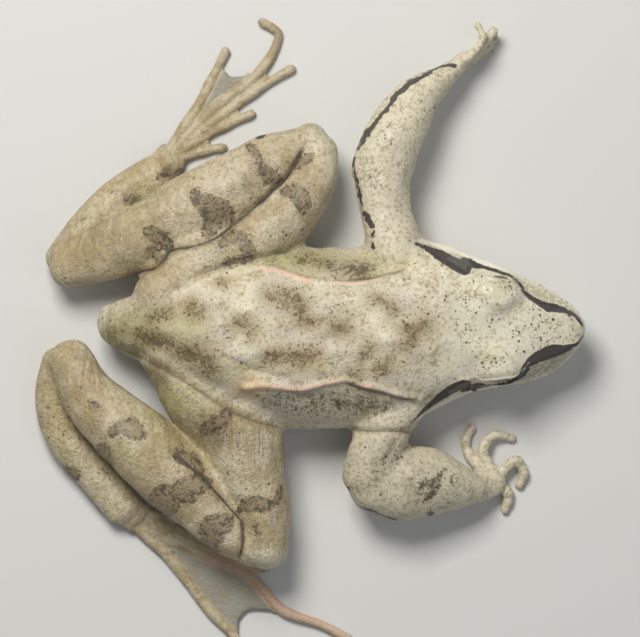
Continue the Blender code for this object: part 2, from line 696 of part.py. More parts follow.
def finish(nodes):
    colours = {"eye": EYE_COLOUR, "tympanum": EAR_SKIN, "foot": WEB_SKIN, "hand": PALE_SKIN, "lower": PALE_SKIN}
    stand = bpy.data.objects.new("agile_frog", None)
    stand.location = Vector((*CENTRE_SHIFT, 0.0)) * MM
    bpy.context.scene.collection.objects.link(stand)
    for node in nodes:
        node.parent = stand
        node.data.name = node.name
        node.data.materials.clear()
        colour, roughness = colours.get(node.name.split("_")[0], SKIN)
        node.data.materials.append(material(node.name + "_skin", colour, roughness))
        node.data.shade_smooth()
        node.data.set_sharp_from_angle(angle=math.radians(40))


def main():
    remove(list(bpy.data.objects))
    floor = box("floor_cutter", (-ROOM, -ROOM, -ROOM), (ROOM, ROOM, 0))
    body = whole_body()
    head, set_in = make_head(body)
    nodes = [make_torso(body, floor), head, make_lower_jaw(body)] + set_in
    nodes += make_limbs(body, floor)
    remove([floor, body])
    finish(nodes)


main()
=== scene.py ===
# Agile frog, life size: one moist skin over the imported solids, two glossy eyes and a pale studio floor.
# Lengths here are millimetres in the frog's own plan, turned into metres as each mesh is made.
import math
import bmesh
import bpy
import numpy as np
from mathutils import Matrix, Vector


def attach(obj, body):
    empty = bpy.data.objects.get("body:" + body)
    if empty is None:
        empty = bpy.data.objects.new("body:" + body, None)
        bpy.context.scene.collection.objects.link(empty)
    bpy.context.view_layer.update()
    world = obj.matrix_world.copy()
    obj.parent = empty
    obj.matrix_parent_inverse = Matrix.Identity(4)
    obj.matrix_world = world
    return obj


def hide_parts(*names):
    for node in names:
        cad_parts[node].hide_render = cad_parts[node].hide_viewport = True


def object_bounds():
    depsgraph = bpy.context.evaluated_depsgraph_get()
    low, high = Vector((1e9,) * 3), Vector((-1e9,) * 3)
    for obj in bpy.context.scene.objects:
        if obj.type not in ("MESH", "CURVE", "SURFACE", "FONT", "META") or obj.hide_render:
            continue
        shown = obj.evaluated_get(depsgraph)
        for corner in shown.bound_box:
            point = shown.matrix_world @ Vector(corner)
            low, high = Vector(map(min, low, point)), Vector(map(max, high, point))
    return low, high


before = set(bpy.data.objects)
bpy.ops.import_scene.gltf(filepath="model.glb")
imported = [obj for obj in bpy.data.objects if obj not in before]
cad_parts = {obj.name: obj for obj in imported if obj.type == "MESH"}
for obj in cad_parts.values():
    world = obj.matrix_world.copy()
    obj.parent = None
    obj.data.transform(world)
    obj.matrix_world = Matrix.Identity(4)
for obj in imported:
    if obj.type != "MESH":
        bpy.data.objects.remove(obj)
cadLow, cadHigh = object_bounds()

mm = 0.001
centreShift = np.array([1.25, 2.29, 0.0])  # from the frog's plan to the middle of its box
batchSize = 3000000  # distances worked out at one time


# Curves and noise

def hermite(knots, values, at):
    # cubic through every knot: (2t³-3t²+1)a + (t³-2t²+t)h·m + (3t²-2t³)b + (t³-t²)h·n
    knots, values = np.asarray(knots, float), np.asarray(values, float)
    at = np.clip(np.asarray(at, float), knots[0], knots[-1])
    slopes = np.gradient(values, knots, axis=0)
    i = np.clip(np.searchsorted(knots, at, side="right") - 1, 0, len(knots) - 2)
    wide = (-1,) + (1,) * (values.ndim - 1)
    span = (knots[i + 1] - knots[i]).reshape(wide)
    t = (at - knots[i]).reshape(wide) / span
    start = (2 * t**3 - 3 * t**2 + 1) * values[i] + (t**3 - 2 * t**2 + t) * span * slopes[i]
    end = (3 * t**2 - 2 * t**3) * values[i + 1] + (t**3 - t**2) * span * slopes[i + 1]
    return start + end


def reachAlong(rows, places=3):
    # the distance along the path at each of its points
    steps = np.linalg.norm(np.diff(rows[:, :places], axis=0), axis=1)
    return np.concatenate([[0.0], np.cumsum(steps)])


def resample(rows, count, places=3):
    # rows spread evenly along their path
    rows = np.asarray(rows, float)
    reach = reachAlong(rows, places)
    return hermite(reach, rows, np.linspace(0.0, reach[-1], count))


def smoothStep(low, high, value):
    # 3t²-2t³, t being the value's share of the way from low to high
    t = np.clip((value - low) / (high - low), 0.0, 1.0)
    return t * t * (3 - 2 * t)


def bell(distance, width):
    # exp(-(d/w)²)
    return np.exp(-((distance / width) ** 2))


def noise(points, size, seed):
    # lattice noise: random corner values blended by 3t²-2t³, from -1 to 1
    place = points / size + seed * 17.13
    cell = np.floor(place).astype(np.int64)
    t = place - cell
    t = t * t * (3 - 2 * t)
    total = np.zeros(len(points))
    for corner in np.ndindex(2, 2, 2):
        c = cell + corner
        # odd multipliers scatter the corner's place into an even spread of values
        mixed = (c[:, 0] * 73856093) ^ (c[:, 1] * 19349663) ^ (c[:, 2] * 83492791) ^ (seed * 40503)
        mixed = (mixed * 1274126177) & 0xFFFFFFFF
        mixed = ((mixed ^ (mixed >> 15)) * 2246822519) & 0xFFFFFFFF
        mixed = mixed ^ (mixed >> 13)
        weight = np.prod(np.where(corner, t, 1 - t), axis=1)
        total += weight * (mixed / 2.0**31 - 1.0)
    return total


def brush(knots, spacing=0.12):
    # a brush stroke: points along a smooth line, the last column its radius
    rows = np.asarray(knots, float)
    places = rows.shape[1] - 1
    count = max(2, int(reachAlong(rows, places)[-1] / spacing))
    return resample(rows, count, places)


def strokeDistance(points, stroke, reach=3.0):
    # the least of |p - c| - r over the stroke's points, at most the reach
    places = stroke.shape[1] - 1
    spots = points[:, :places]
    margin = reach + stroke[:, places].max()
    low, high = stroke[:, :places].min(axis=0) - margin, stroke[:, :places].max(axis=0) + margin
    near = np.flatnonzero(np.all((spots > low) & (spots < high), axis=1))
    out = np.full(len(points), reach)
    for part in np.array_split(near, 1 + len(near) * len(stroke) // batchSize):
        gaps = np.linalg.norm(spots[part, None] - stroke[None, :, :places], axis=2) - stroke[:, places]
        out[part] = np.minimum(gaps.min(axis=1), reach)
    return out


def leastStroke(points, strokes, reach=3.0):
    gap = np.full(len(points), reach)
    for stroke in strokes:
        gap = np.minimum(gap, strokeDistance(points, stroke, reach))
    return gap


# Body: a loft of sections from the vent to the snout

body = {
    # x, axisY, roll, crownZ, edgeW, edgeZ, side, flankW, flankZ, keelZ
    "stations": np.array([
        (-27.3, -0.5, 0, 6.8, 1.3, 6.3, 0.2, 1.9, 4.6, 3.0),
        (-25.0, -1.0, 0, 8.5, 1.9, 7.9, 0.4, 3.2, 4.7, 1.7),
        (-22.4, -1.1, 0, 10.0, 2.6, 9.3, 0.5, 4.3, 5.0, 0.8),
        (-19.3, -1.2, 0, 11.9, 3.5, 11.0, 0.6, 5.5, 5.2, 0.2),
        (-15.5, -1.8, 0, 13.9, 4.8, 12.7, 0.7, 6.9, 5.4, -0.2),
        (-12.0, -2.2, 0, 14.6, 6.1, 13.1, 0.8, 8.6, 5.4, -0.4),
        (-8.8, -2.4, 0, 14.4, 7.0, 12.8, 0.9, 10.1, 5.4, -0.4),
        (-4.0, -2.5, 0, 13.9, 7.1, 12.3, 1.1, 11.1, 5.3, -0.4),
        (3.0, -2.5, 0, 13.3, 6.5, 11.9, 1.2, 11.2, 5.2, -0.4),
        (9.5, -2.3, 0, 12.9, 7.2, 11.3, 0.9, 11.1, 5.2, -0.3),
        (13.0, -1.2, 2, 12.3, 7.6, 10.6, 0.5, 10.7, 5.2, 0.4),
        (15.5, -0.8, 4, 11.8, 7.2, 10.2, 0.2, 9.9, 5.3, 1.2),
        (18.6, -0.7, 6, 11.2, 6.1, 9.9, 0.0, 8.6, 5.3, 1.9),
        (22.2, -1.0, 6, 10.7, 5.0, 9.8, -0.1, 7.6, 5.4, 2.2),
        (25.5, -1.5, 6, 10.4, 4.2, 9.6, -0.2, 6.5, 5.6, 2.6),
        (28.0, -1.7, 6, 9.8, 3.1, 9.2, -0.3, 5.5, 5.8, 3.1),
        (30.0, -1.7, 6, 9.1, 2.4, 8.6, -0.2, 4.2, 6.0, 3.8),
        (31.8, -1.5, 6, 8.3, 1.6, 7.9, -0.1, 2.6, 6.2, 4.6),
        (32.8, -1.4, 6, 7.6, 0.8, 7.3, 0.0, 1.2, 6.4, 5.4),
    ]),
    "rumpTip": (-27.9, -0.4, 4.9),
    "snoutTip": (33.15, -1.4, 6.7),
    "crownBend": (0.52, 0.22),  # share of the way out to the back's edge, and of the way down to it
    "bellyBend": (0.74, 0.2),  # share of the way out to the flank, and of the way up to it
    "rings": 150, "perSpan": 8,
    "turnStep": 3,  # turns between the knots of a section
    "fieldRings": 120, "fieldTurns": 180,  # for the distance from the body
}


def sections(x):
    # each section's loop of (side, height) before its roll, through 12 points from crown to keel and back
    row = hermite(body["stations"][:, 0], body["stations"], x)
    crown, edgeW, edgeZ, side, flankW, flankZ, keel = row[:, 3:].T
    zero = np.zeros_like(crown)
    crownOut, crownDown = body["crownBend"]
    bellyOut, bellyUp = body["bellyBend"]
    half = [
        (zero, crown),
        (crownOut * edgeW, crown - crownDown * (crown - edgeZ)),
        (edgeW, edgeZ),
        ((edgeW + flankW) / 2 + side, (edgeZ + flankZ) / 2),
        (flankW, flankZ),
        (bellyOut * flankW, keel + bellyUp * (flankZ - keel)),
        (zero, keel),
    ]
    half = np.array(half).transpose(0, 2, 1)
    loop = np.concatenate([half, half[-2:0:-1] * (-1, 1)])
    wrapped = np.concatenate([loop[-3:], loop, loop[:4]])
    count = len(loop) * body["perSpan"]
    ring = hermite(np.arange(len(wrapped)) - 3.0, wrapped, np.arange(count) / body["perSpan"])
    return ring.transpose(1, 0, 2)


def rollAt(x):
    # the middle plane's place, its turn and the height it turns about
    row = hermite(body["stations"][:, 0], body["stations"], x)
    return row[:, 1], np.radians(row[:, 2]), row[:, 8]


def fromHead(spots):
    # (x, side, height) in the rolled head to model space
    x, side, high = np.asarray(spots, float).T
    axisY, roll, pivot = rollAt(x)
    high = high - pivot
    y = axisY + side * np.cos(roll) - high * np.sin(roll)
    return np.column_stack([x, y, pivot + side * np.sin(roll) + high * np.cos(roll)])


def toHead(points):
    # the way back from model space to (x, side, height) in the rolled head
    axisY, roll, pivot = rollAt(points[:, 0])
    y, z = points[:, 1] - axisY, points[:, 2] - pivot
    side = y * np.cos(roll) + z * np.sin(roll)
    return np.column_stack([points[:, 0], side, pivot - y * np.sin(roll) + z * np.cos(roll)])


def onBody(spots, hand):
    # points on the skin from (x, turn): turn 0 crown, 6 back edge, 9 mid side, 12 lip or flank, 18 keel
    spots = np.asarray(spots, float)
    ring = sections(spots[:, 0])
    share = spots[:, 1] * body["perSpan"] / body["turnStep"]
    low = np.floor(share).astype(int)
    part = (share - low)[:, None]
    rows = np.arange(len(spots))
    flat = ring[rows, low] * (1 - part) + ring[rows, low + 1] * part
    return fromHead(np.column_stack([spots[:, 0], flat[:, 0] * hand, flat[:, 1]]))


def bodyGrid():
    # the sections' loops at even steps along the body
    x = np.linspace(body["stations"][0, 0], body["stations"][-1, 0], body["rings"])
    ring = sections(x)
    count = ring.shape[1]
    spots = np.column_stack([np.repeat(x, count), ring.reshape(-1, 2)])
    return fromHead(spots).reshape(len(x), count, 3)


# Limbs: ovals across a smooth path, x, y, z, half width, half height

limbs = {
    "thighLeft": [
        (-19.5, 2.4, 7.0, 4.0, 4.5), (-15.6, 5.6, 6.8, 4.9, 5.2), (-8.4, 9.2, 6.5, 4.2, 5.0),
        (-3.2, 13.5, 6.3, 3.4, 4.4), (-0.7, 17.4, 6.3, 3.0, 3.7), (-0.4, 20.6, 6.2, 2.6, 3.1),
    ],
    "shankLeft": [
        (-1.2, 22.0, 6.2, 2.3, 2.6), (-4.4, 20.2, 6.4, 3.2, 3.4), (-8.1, 17.9, 6.6, 4.2, 4.1),
        (-12.2, 15.4, 6.5, 4.6, 4.3), (-17.0, 12.7, 6.2, 4.6, 4.2), (-21.8, 10.1, 5.6, 4.1, 3.7),
        (-27.2, 7.9, 4.9, 3.4, 3.1), (-31.4, 6.6, 4.3, 2.9, 2.8),
    ],
    "tarsusLeft": [
        (-32.3, 7.2, 2.6, 2.2, 2.0), (-29.4, 10.9, 2.0, 2.4, 2.1), (-25.2, 14.8, 1.8, 2.7, 2.0),
        (-20.4, 18.0, 1.6, 2.6, 1.8),
    ],
    "thighRight": [
        (-18.6, -4.4, 7.0, 4.0, 4.5), (-14.8, -8.6, 6.8, 5.2, 5.2), (-10.4, -13.5, 6.5, 5.4, 5.0),
        (-8.8, -18.6, 6.3, 4.6, 4.5), (-7.2, -24.2, 6.3, 3.6, 3.8), (-6.8, -28.6, 6.2, 3.1, 3.2),
    ],
    "shankRight": [
        (-8.4, -29.0, 6.2, 2.2, 2.6), (-11.4, -26.6, 6.4, 2.9, 3.2), (-15.8, -22.0, 6.6, 4.1, 4.1),
        (-20.3, -17.8, 6.5, 4.5, 4.3), (-24.9, -13.5, 6.1, 4.1, 4.0), (-29.1, -9.2, 5.4, 3.4, 3.4),
        (-31.1, -5.6, 4.8, 2.9, 3.0),
    ],
    "tarsusRight": [
        (-32.6, -5.4, 2.6, 2.2, 2.0), (-33.4, -9.6, 2.1, 2.3, 2.1), (-32.0, -14.9, 1.9, 2.4, 2.0),
        (-28.3, -19.4, 1.7, 2.4, 1.9), (-24.6, -23.8, 1.6, 2.4, 1.8),
    ],
    "upperArmLeft": [
        (10.3, 5.0, 6.8, 4.0, 4.0), (9.3, 9.2, 6.7, 3.7, 3.8), (8.3, 13.0, 6.5, 3.2, 3.4),
        (7.7, 17.0, 6.3, 3.3, 3.3),
    ],
    "forearmLeft": [
        (7.5, 18.2, 6.2, 3.6, 3.3), (8.4, 21.1, 6.1, 3.8, 3.4), (10.6, 24.9, 5.6, 3.5, 3.2),
        (13.0, 28.1, 5.0, 2.6, 2.6), (15.6, 30.2, 4.4, 1.6, 2.1),
    ],
    "upperArmRight": [
        (9.9, -10.0, 6.6, 3.7, 3.9), (7.9, -14.2, 6.4, 3.4, 3.5), (6.6, -17.8, 6.1, 3.4, 3.3),
        (6.1, -19.8, 5.8, 3.3, 3.2),
    ],
    "forearmRight": [
        (6.4, -20.7, 5.4, 3.6, 3.3), (9.7, -20.6, 5.2, 4.5, 3.6), (13.4, -20.5, 4.7, 4.5, 3.5),
        (16.8, -21.1, 4.0, 3.2, 2.7), (19.4, -21.5, 3.2, 1.8, 1.9),
    ],
}

feet = {
    "toeRadius": (0.85, 0.55), "toeZ": 0.5, "startZ": (1.3, 0.8),
    "soleZ": (1.5, 1.2, 0.8), "soleWidth": 2.1, "soleHeights": (1.6, 1.3, 0.9),
    "webReach": [(0.92, 0.78), (0.92, 0.82), (0.94, 0.74), (0.79, 0.96)],
    "webHalf": 0.3, "webZ": 0.52, "webDip": 0.15, "webInset": 0.04, "webStart": 0.15,
    "webAcross": 15, "webAlong": 40, "webFine": 400,
    "left": {
        "heel": (-20.9, 17.2),
        "toes": [
            [(-18.6, 19.4), (-15.2, 20.8), (-12.2, 21.4)],
            [(-18.4, 20.0), (-13.4, 23.4), (-8.6, 25.6)],
            [(-18.0, 20.6), (-12.0, 25.6), (-6.4, 29.6), (-3.6, 31.2)],
            [(-18.0, 21.2), (-12.6, 26.8), (-8.2, 30.2), (-5.6, 34.0), (-5.2, 35.6), (-7.2, 37.0)],
            [(-18.6, 21.4), (-15.4, 26.4), (-13.0, 31.0), (-11.8, 33.4)],
        ],
    },
    "right": {
        "heel": (-25.2, -23.2),
        "toes": [
            [(-22.0, -24.4), (-18.6, -25.0), (-16.4, -25.0)],
            [(-22.0, -24.8), (-16.6, -27.0), (-12.0, -28.4)],
            [(-22.0, -25.4), (-15.2, -28.4), (-9.6, -30.6), (-6.8, -31.4)],
            [(-22.4, -26.0), (-14.6, -29.6), (-8.2, -32.8), (-5.0, -36.4), (0.6, -38.6), (3.6, -40.2)],
            [(-22.8, -26.2), (-18.2, -30.8), (-14.4, -36.0), (-10.8, -39.8), (-9.0, -41.6)],
        ],
    },
}

hands = {
    "radius": (0.8, 0.55),
    "left": {
        "palm": [(14.9, 29.7, 4.2, 1.5, 2.2), (17.0, 31.4, 3.4, 1.2, 2.3), (18.4, 32.7, 2.9, 0.9, 1.9)],
        "fingers": [
            [(17.4, 31.8, 4.2), (19.2, 33.2, 4.6), (20.3, 35.2, 4.4), (19.7, 36.5, 4.2)],
            [(17.6, 31.9, 3.4), (19.4, 33.2, 3.3), (20.9, 34.9, 3.0), (21.7, 35.9, 2.7)],
            [(17.6, 31.9, 2.4), (19.6, 33.0, 1.9), (21.0, 34.3, 1.3), (21.9, 35.1, 0.9)],
            [(17.4, 31.7, 1.8), (19.2, 32.6, 1.0), (20.4, 33.3, 0.5), (21.4, 33.9, 0.4)],
        ],
    },
    "right": {
        "palm": [(18.6, -21.3, 2.9, 1.8, 1.8), (20.6, -20.8, 1.9, 2.1, 1.4), (22.2, -20.0, 1.4, 1.9, 1.1)],
        "fingers": [
            [(20.6, -19.4, 1.4), (19.0, -17.6, 0.8), (18.2, -15.6, 0.5), (19.0, -13.8, 0.4)],
            [(21.4, -19.0, 1.3), (20.4, -16.4, 1.4), (21.8, -14.7, 1.0), (24.0, -15.0, 0.4)],
            [(22.6, -19.4, 1.3), (24.6, -17.9, 1.2), (25.5, -19.4, 0.8), (25.0, -20.9, 0.4)],
            [(22.2, -20.6, 1.2), (23.6, -22.2, 0.8), (23.2, -24.0, 0.4)],
        ],
    },
}

digit = {
    "rows": 24,
    "thin": 0.90, "swell": 0.20,  # of the radius: between the joints, and what a joint adds
    # the joints: share of the length, spread, strength
    "swells": [(0.45, 0.07, 1.0), (0.75, 0.06, 1.0), (1.0, 0.06, 0.8)],
}

tubes = {
    # rings, sides and how round the ends are
    "limb": (60, 48, 0.9), "palm": (16, 32, 0.9), "toe": (60, 14, 1.0), "finger": (36, 14, 1.0),
    "endAngles": (78, 60, 42, 22),  # degrees round each end
}


def pathFrame(path):
    # unit vectors along the path, level across it and up from it
    along = np.gradient(path, axis=0)
    along /= np.linalg.norm(along, axis=1)[:, None]
    across = np.cross((0.0, 0.0, 1.0), along)
    across /= np.linalg.norm(across, axis=1)[:, None]
    return along, across, np.cross(along, across)


def tubeGrid(stations, kind):
    # ring i at angle a: path + cos(a)·width·across + sin(a)·height·up; the ends round off by sine and cosine
    rings, sides, cap = tubes[kind]
    rows = resample(stations, rings)
    path = rows[:, :3]
    along, across, up = pathFrame(path)
    bends = np.radians(tubes["endAngles"])
    count = len(bends)
    index = np.concatenate([np.zeros(count, int), np.arange(rings), np.full(count, rings - 1)])
    scale = np.concatenate([np.cos(bends), np.ones(rings), np.cos(bends[::-1])])
    ends = cap * rows[[0, -1], 3:5].min(axis=1)
    push = np.concatenate([-ends[0] * np.sin(bends), np.zeros(rings), ends[1] * np.sin(bends[::-1])])
    middle = path[index] + along[index] * push[:, None]
    turn = np.linspace(0.0, 2 * math.pi, sides, endpoint=False)
    wide = (across[index] * (rows[index, 3] * scale)[:, None])[:, None] * np.cos(turn)[None, :, None]
    high = (up[index] * (rows[index, 4] * scale)[:, None])[:, None] * np.sin(turn)[None, :, None]
    grid = middle[:, None] + wide + high
    return grid, path[0] - along[0] * ends[0], path[-1] + along[-1] * ends[1]


def digitRows(path, radii):
    # a tapered digit: radius·(thin + swell·the sum of a bell at each joint)
    path = np.asarray(path, float)
    reach = reachAlong(path)
    at = np.linspace(0, 1, digit["rows"])
    rows = hermite(reach / reach[-1], path, at)
    swell = sum(strength * bell(at - place, spread) for place, spread, strength in digit["swells"])
    radius = (radii[0] + (radii[1] - radii[0]) * at) * (digit["thin"] + digit["swell"] * swell)
    return np.column_stack([rows, radius, radius])


def closedGrid(grid, first, last):
    # quads over a grid that wraps sideways, with a fan of triangles at each end
    rings, sides = grid.shape[:2]
    points = np.concatenate([grid.reshape(-1, 3), [first, last]])
    i, j = np.meshgrid(np.arange(rings - 1), np.arange(sides), indexing="ij")
    k = (j + 1) % sides
    quads = np.stack([i * sides + j, i * sides + k, (i + 1) * sides + k, (i + 1) * sides + j], axis=-1)
    a = np.arange(sides)
    b = (a + 1) % sides
    low = (rings - 1) * sides
    start = np.column_stack([np.full(sides, rings * sides), b, a])
    end = np.column_stack([np.full(sides, rings * sides + 1), low + a, low + b])
    return points, quads.reshape(-1, 4).tolist() + start.tolist() + end.tolist()


def sheetGrid(grid, half):
    # the grid lifted and lowered by half its thickness, its rim closed
    rows, columns = grid.shape[:2]
    lift = np.array([0.0, 0.0, half])
    points = np.concatenate([(grid + lift).reshape(-1, 3), (grid - lift).reshape(-1, 3)])
    under = rows * columns
    i, j = np.meshgrid(np.arange(rows - 1), np.arange(columns - 1), indexing="ij")
    a = i * columns + j
    top = np.stack([a, a + 1, a + columns + 1, a + columns], axis=-1).reshape(-1, 4)
    rim = np.concatenate([
        np.arange(columns),
        np.arange(1, rows) * columns + columns - 1,
        (rows - 1) * columns + np.arange(columns - 2, -1, -1),
        np.arange(rows - 2, 0, -1) * columns,
    ])
    after = np.roll(rim, -1)
    edge = np.stack([after, rim, under + rim, under + after], axis=-1)
    return points, top.tolist() + (under + top[:, ::-1]).tolist() + edge.tolist()


def webGrid(inner, outer, reachInner, reachOuter):
    # points blended between two toes, t across and s along, the free edge drawn back by dip·4t(1-t)s
    t = np.linspace(feet["webInset"], 1 - feet["webInset"], feet["webAcross"])
    s = np.linspace(feet["webStart"], 1, feet["webAlong"])[:, None]
    reach = s * (1 - feet["webDip"] * 4 * t * (1 - t) * s)
    fine = feet["webFine"]
    inner = resample(inner, fine)[np.rint((fine - 1) * reach * reachInner).astype(int)]
    outer = resample(outer, fine)[np.rint((fine - 1) * reach * reachOuter).astype(int)]
    grid = inner * (1 - t)[:, None] + outer * t[:, None]
    grid[:, :, 2] = feet["webZ"]
    return grid


def toePaths(foot):
    # each toe from the heel, which stands higher than the toes
    paths = []
    for toe in foot["toes"]:
        flat = np.array([foot["heel"]] + toe)
        high = np.full(len(flat), feet["toeZ"])
        high[:2] = feet["startZ"]
        paths.append(np.column_stack([flat, high]))
    return paths


def footParts(foot):
    heel = np.array(foot["heel"])
    knuckle = np.mean([toe[0] for toe in foot["toes"]], axis=0)
    spots = [heel, (heel + knuckle) / 2, knuckle]
    sole = [(*p, z, feet["soleWidth"], h) for p, z, h in zip(spots, feet["soleZ"], feet["soleHeights"])]
    parts = [closedGrid(*tubeGrid(sole, "palm"))]
    paths = toePaths(foot)
    for path in paths:
        parts.append(closedGrid(*tubeGrid(digitRows(path, feet["toeRadius"]), "toe")))
    for inner, outer, reach in zip(paths, paths[1:], feet["webReach"]):
        parts.append(sheetGrid(webGrid(inner, outer, *reach), feet["webHalf"]))
    return parts


def handParts(hand):
    parts = [closedGrid(*tubeGrid(hand["palm"], "palm"))]
    for path in hand["fingers"]:
        parts.append(closedGrid(*tubeGrid(digitRows(path, hands["radius"]), "finger")))
    return parts


# Head: lids, eyes, ears and nostrils, placed from the head's middle plane

head = {
    "eye": (22.2, 4.5, 8.9), "eyeRadius": 2.15, "cornea": (0.07, 0.7),  # the bulge's height and its spread
    "gaze": (0.16, 1.0, 0.30), "eyeWide": 49.0, "eyeTall": (27.0, 31.0),  # degrees from the gaze, up and down
    "lidRadii": (3.2, 2.7, 2.75), "lidReach": 3.6,
    "lidEdge": (-5.0, 3.0), "lidScale": 35.0,  # degrees about the opening, and degrees to its own size
    "lidRim": (0.16, 6.0, 5.0),  # height in mm, degrees outside the opening, spread
    "lidDepth": 0.35, "lidClear": 0.1,  # mm behind the ball's surface and off it
    # skin less far ahead of the ball's middle than this share of its distance counts as closed
    "lidFront": 0.1, "lidFar": 90.0,
    "lidNear": 45.0,  # degrees outside the opening that are held clear of the ball
    "lidGrid": (34, 48), "ballGrid": (50, 64),  # rings and sides
    "half": 12,  # mm each side of the middle
    "lidMound": (0.3, 21.4, 2.6, 3.4, 1.5),  # height, x, side, half length, half width
    "ear": (17.3, 9.3), "earRadius": 1.6, "drumDip": 0.12,
    "nostril": (31.0, 6.6),
    "mouth": [(12.4, 4.75), (15.0, 4.9), (18.0, 4.8), (24.0, 5.05), (29.0, 5.45), (31.5, 5.75), (33.2, 6.0)],
    "lipTurn": 0.75,
    "strokes": {
        # over each side from (x, turn)
        "canthus": [(24.8, 5.6), (26.5, 5.8), (28.5, 5.9), (30.3, 6.0), (32.0, 6.4)],
        "cheekHollow": [(25.4, 8.4), (27.0, 8.3), (29.0, 8.2)],
        "earFold": [(19.6, 6.4), (18.2, 6.4), (16.4, 6.9), (14.6, 8.0), (13.2, 9.6)],
    },
}


def ballGrid(rings, sides):
    # unit sphere: (sin a cos b, sin a sin b, cos a), without its poles
    a = np.linspace(0, math.pi, rings)[1:-1, None]
    b = np.linspace(0, 2 * math.pi, sides, endpoint=False)
    return np.stack([np.sin(a) * np.cos(b), np.sin(a) * np.sin(b), np.cos(a) + 0 * b], axis=-1), a


def lidGrid(centre):
    # an ellipsoid about the eye
    grid, _ = ballGrid(*head["lidGrid"])
    top = (0, 0, head["lidRadii"][2])
    return grid * head["lidRadii"] + centre, centre + top, centre - top


def eyeCentre(hand):
    x, side, high = head["eye"]
    return fromHead([(x, hand * side, high)])[0]


def eyeDistance(points):
    # how far each point is from the nearer eye's middle
    return np.min([np.linalg.norm(points - eyeCentre(hand), axis=1) for hand in (1, -1)], axis=0)


def allParts():
    parts = [closedGrid(bodyGrid(), body["rumpTip"], body["snoutTip"])]
    for stations in limbs.values():
        parts.append(closedGrid(*tubeGrid(stations, "limb")))
    for hand in (1, -1):
        parts.append(closedGrid(*lidGrid(eyeCentre(hand))))
    for word in ("left", "right"):
        parts += footParts(feet[word]) + handParts(hands[word])
    return parts


# The photograph's plan: lines and marks below are given in its pixels

photo = {
    "middle": (320.0, 318.0), "scale": 0.1245,  # pixels, mm to a pixel
    "ovalSpread": 0.8,  # how far an oval fades, of its half sizes
}


def planPlace(pixels):
    # pixels of the photograph to plan millimetres
    return (np.asarray(pixels, float) - photo["middle"]) * (photo["scale"], -photo["scale"])


def drawn(rows):
    # a plan stroke from (pixel x, pixel y) or (pixel x, pixel y, radius in mm)
    rows = np.asarray(rows, float)
    wide = rows[:, 2:] if rows.shape[1] == 3 else np.zeros((len(rows), 1))
    return brush(np.hstack([planPlace(rows[:, :2]), wide]))


def ovals(points, rows):
    # the highest of strength·exp(-((x-cx)/a)²-((y-cy)/b)²) over the ovals
    out = np.zeros(len(points))
    spread = photo["ovalSpread"] * photo["scale"]
    for x, y, wide, tall, strength in rows:
        cx, cy = planPlace((x, y))
        u = (points[:, 0] - cx) / (spread * wide)
        v = (points[:, 1] - cy) / (spread * tall)
        hill = strength * np.exp(-(u * u + v * v))
        out = np.where(np.abs(hill) > np.abs(out), hill, out)
    return out


lines = {
    # strokes of (pixel x, pixel y)
    "foldLeft": [(246, 270), (255, 268), (268, 269), (280, 271), (290, 274), (300, 278), (312, 281),
        (326, 284), (350, 284), (362, 283), (374, 281), (390, 275), (406, 270), (424, 264)],
    "foldRight": [(246, 387), (262, 385), (280, 387), (302, 389), (315, 386), (330, 382.5), (346, 380),
        (358, 384), (372, 387), (390, 393), (405, 397), (420, 399)],
    "underFold": [(342, 382), (350, 384), (360, 388), (375, 391), (390, 395), (400, 398), (412, 399),
        (421, 399)],
    "overFold": [(345, 280), (372, 278), (385, 275), (398, 272), (408, 269)],
    "backGroove": [(226, 358), (236, 363), (245, 367), (258, 372), (270, 375), (286, 378)],
    "legLeft": [(306, 147), (299, 157), (296, 164), (292, 170), (287, 178), (281, 184), (274, 190),
        (266, 198), (258, 205), (250, 212), (242, 218), (232, 226), (224, 233), (215, 239), (205, 243),
        (195, 246), (186, 248), (178, 249), (170, 252), (163, 262), (155, 268), (143, 271), (130, 276)],
    "legRight": [(172, 450), (185, 462), (192, 468), (200, 474), (208, 482), (214, 490), (222, 499),
        (229, 507), (236, 515), (241, 521), (243, 530), (243, 542), (241, 552), (238, 560)],
    "calfRight": [(148, 520), (160, 528), (170, 538), (180, 547), (186, 553)],
    "elbowRight": [(395, 436), (394, 442), (392, 450), (388, 457), (384, 464)],
    "armpitRight": [(348, 429), (360, 430.5), (375, 431), (395, 431), (414, 433)],
    "hipRight": [(122, 350), (140, 357), (167, 371), (200, 391), (226, 408), (255, 421), (283, 428)],
    "hipLeft": [(198, 276), (218, 268), (245, 261), (270, 255), (292, 251)],
    "spine": [(256, 336), (304, 338), (360, 338), (408, 332)],
    "tailRidge": [(108, 324), (143, 327), (183, 331), (220, 335)],
}

creaseShadowLines = {
    # how dark the painted shade along each crease line is
    "underFold": 0.6, "overFold": 0.5, "legLeft": 1.0, "legRight": 1.0, "calfRight": 0.9,
    "elbowRight": 0.2, "armpitRight": 0.55, "hipRight": 0.5, "hipLeft": 0.5,
}

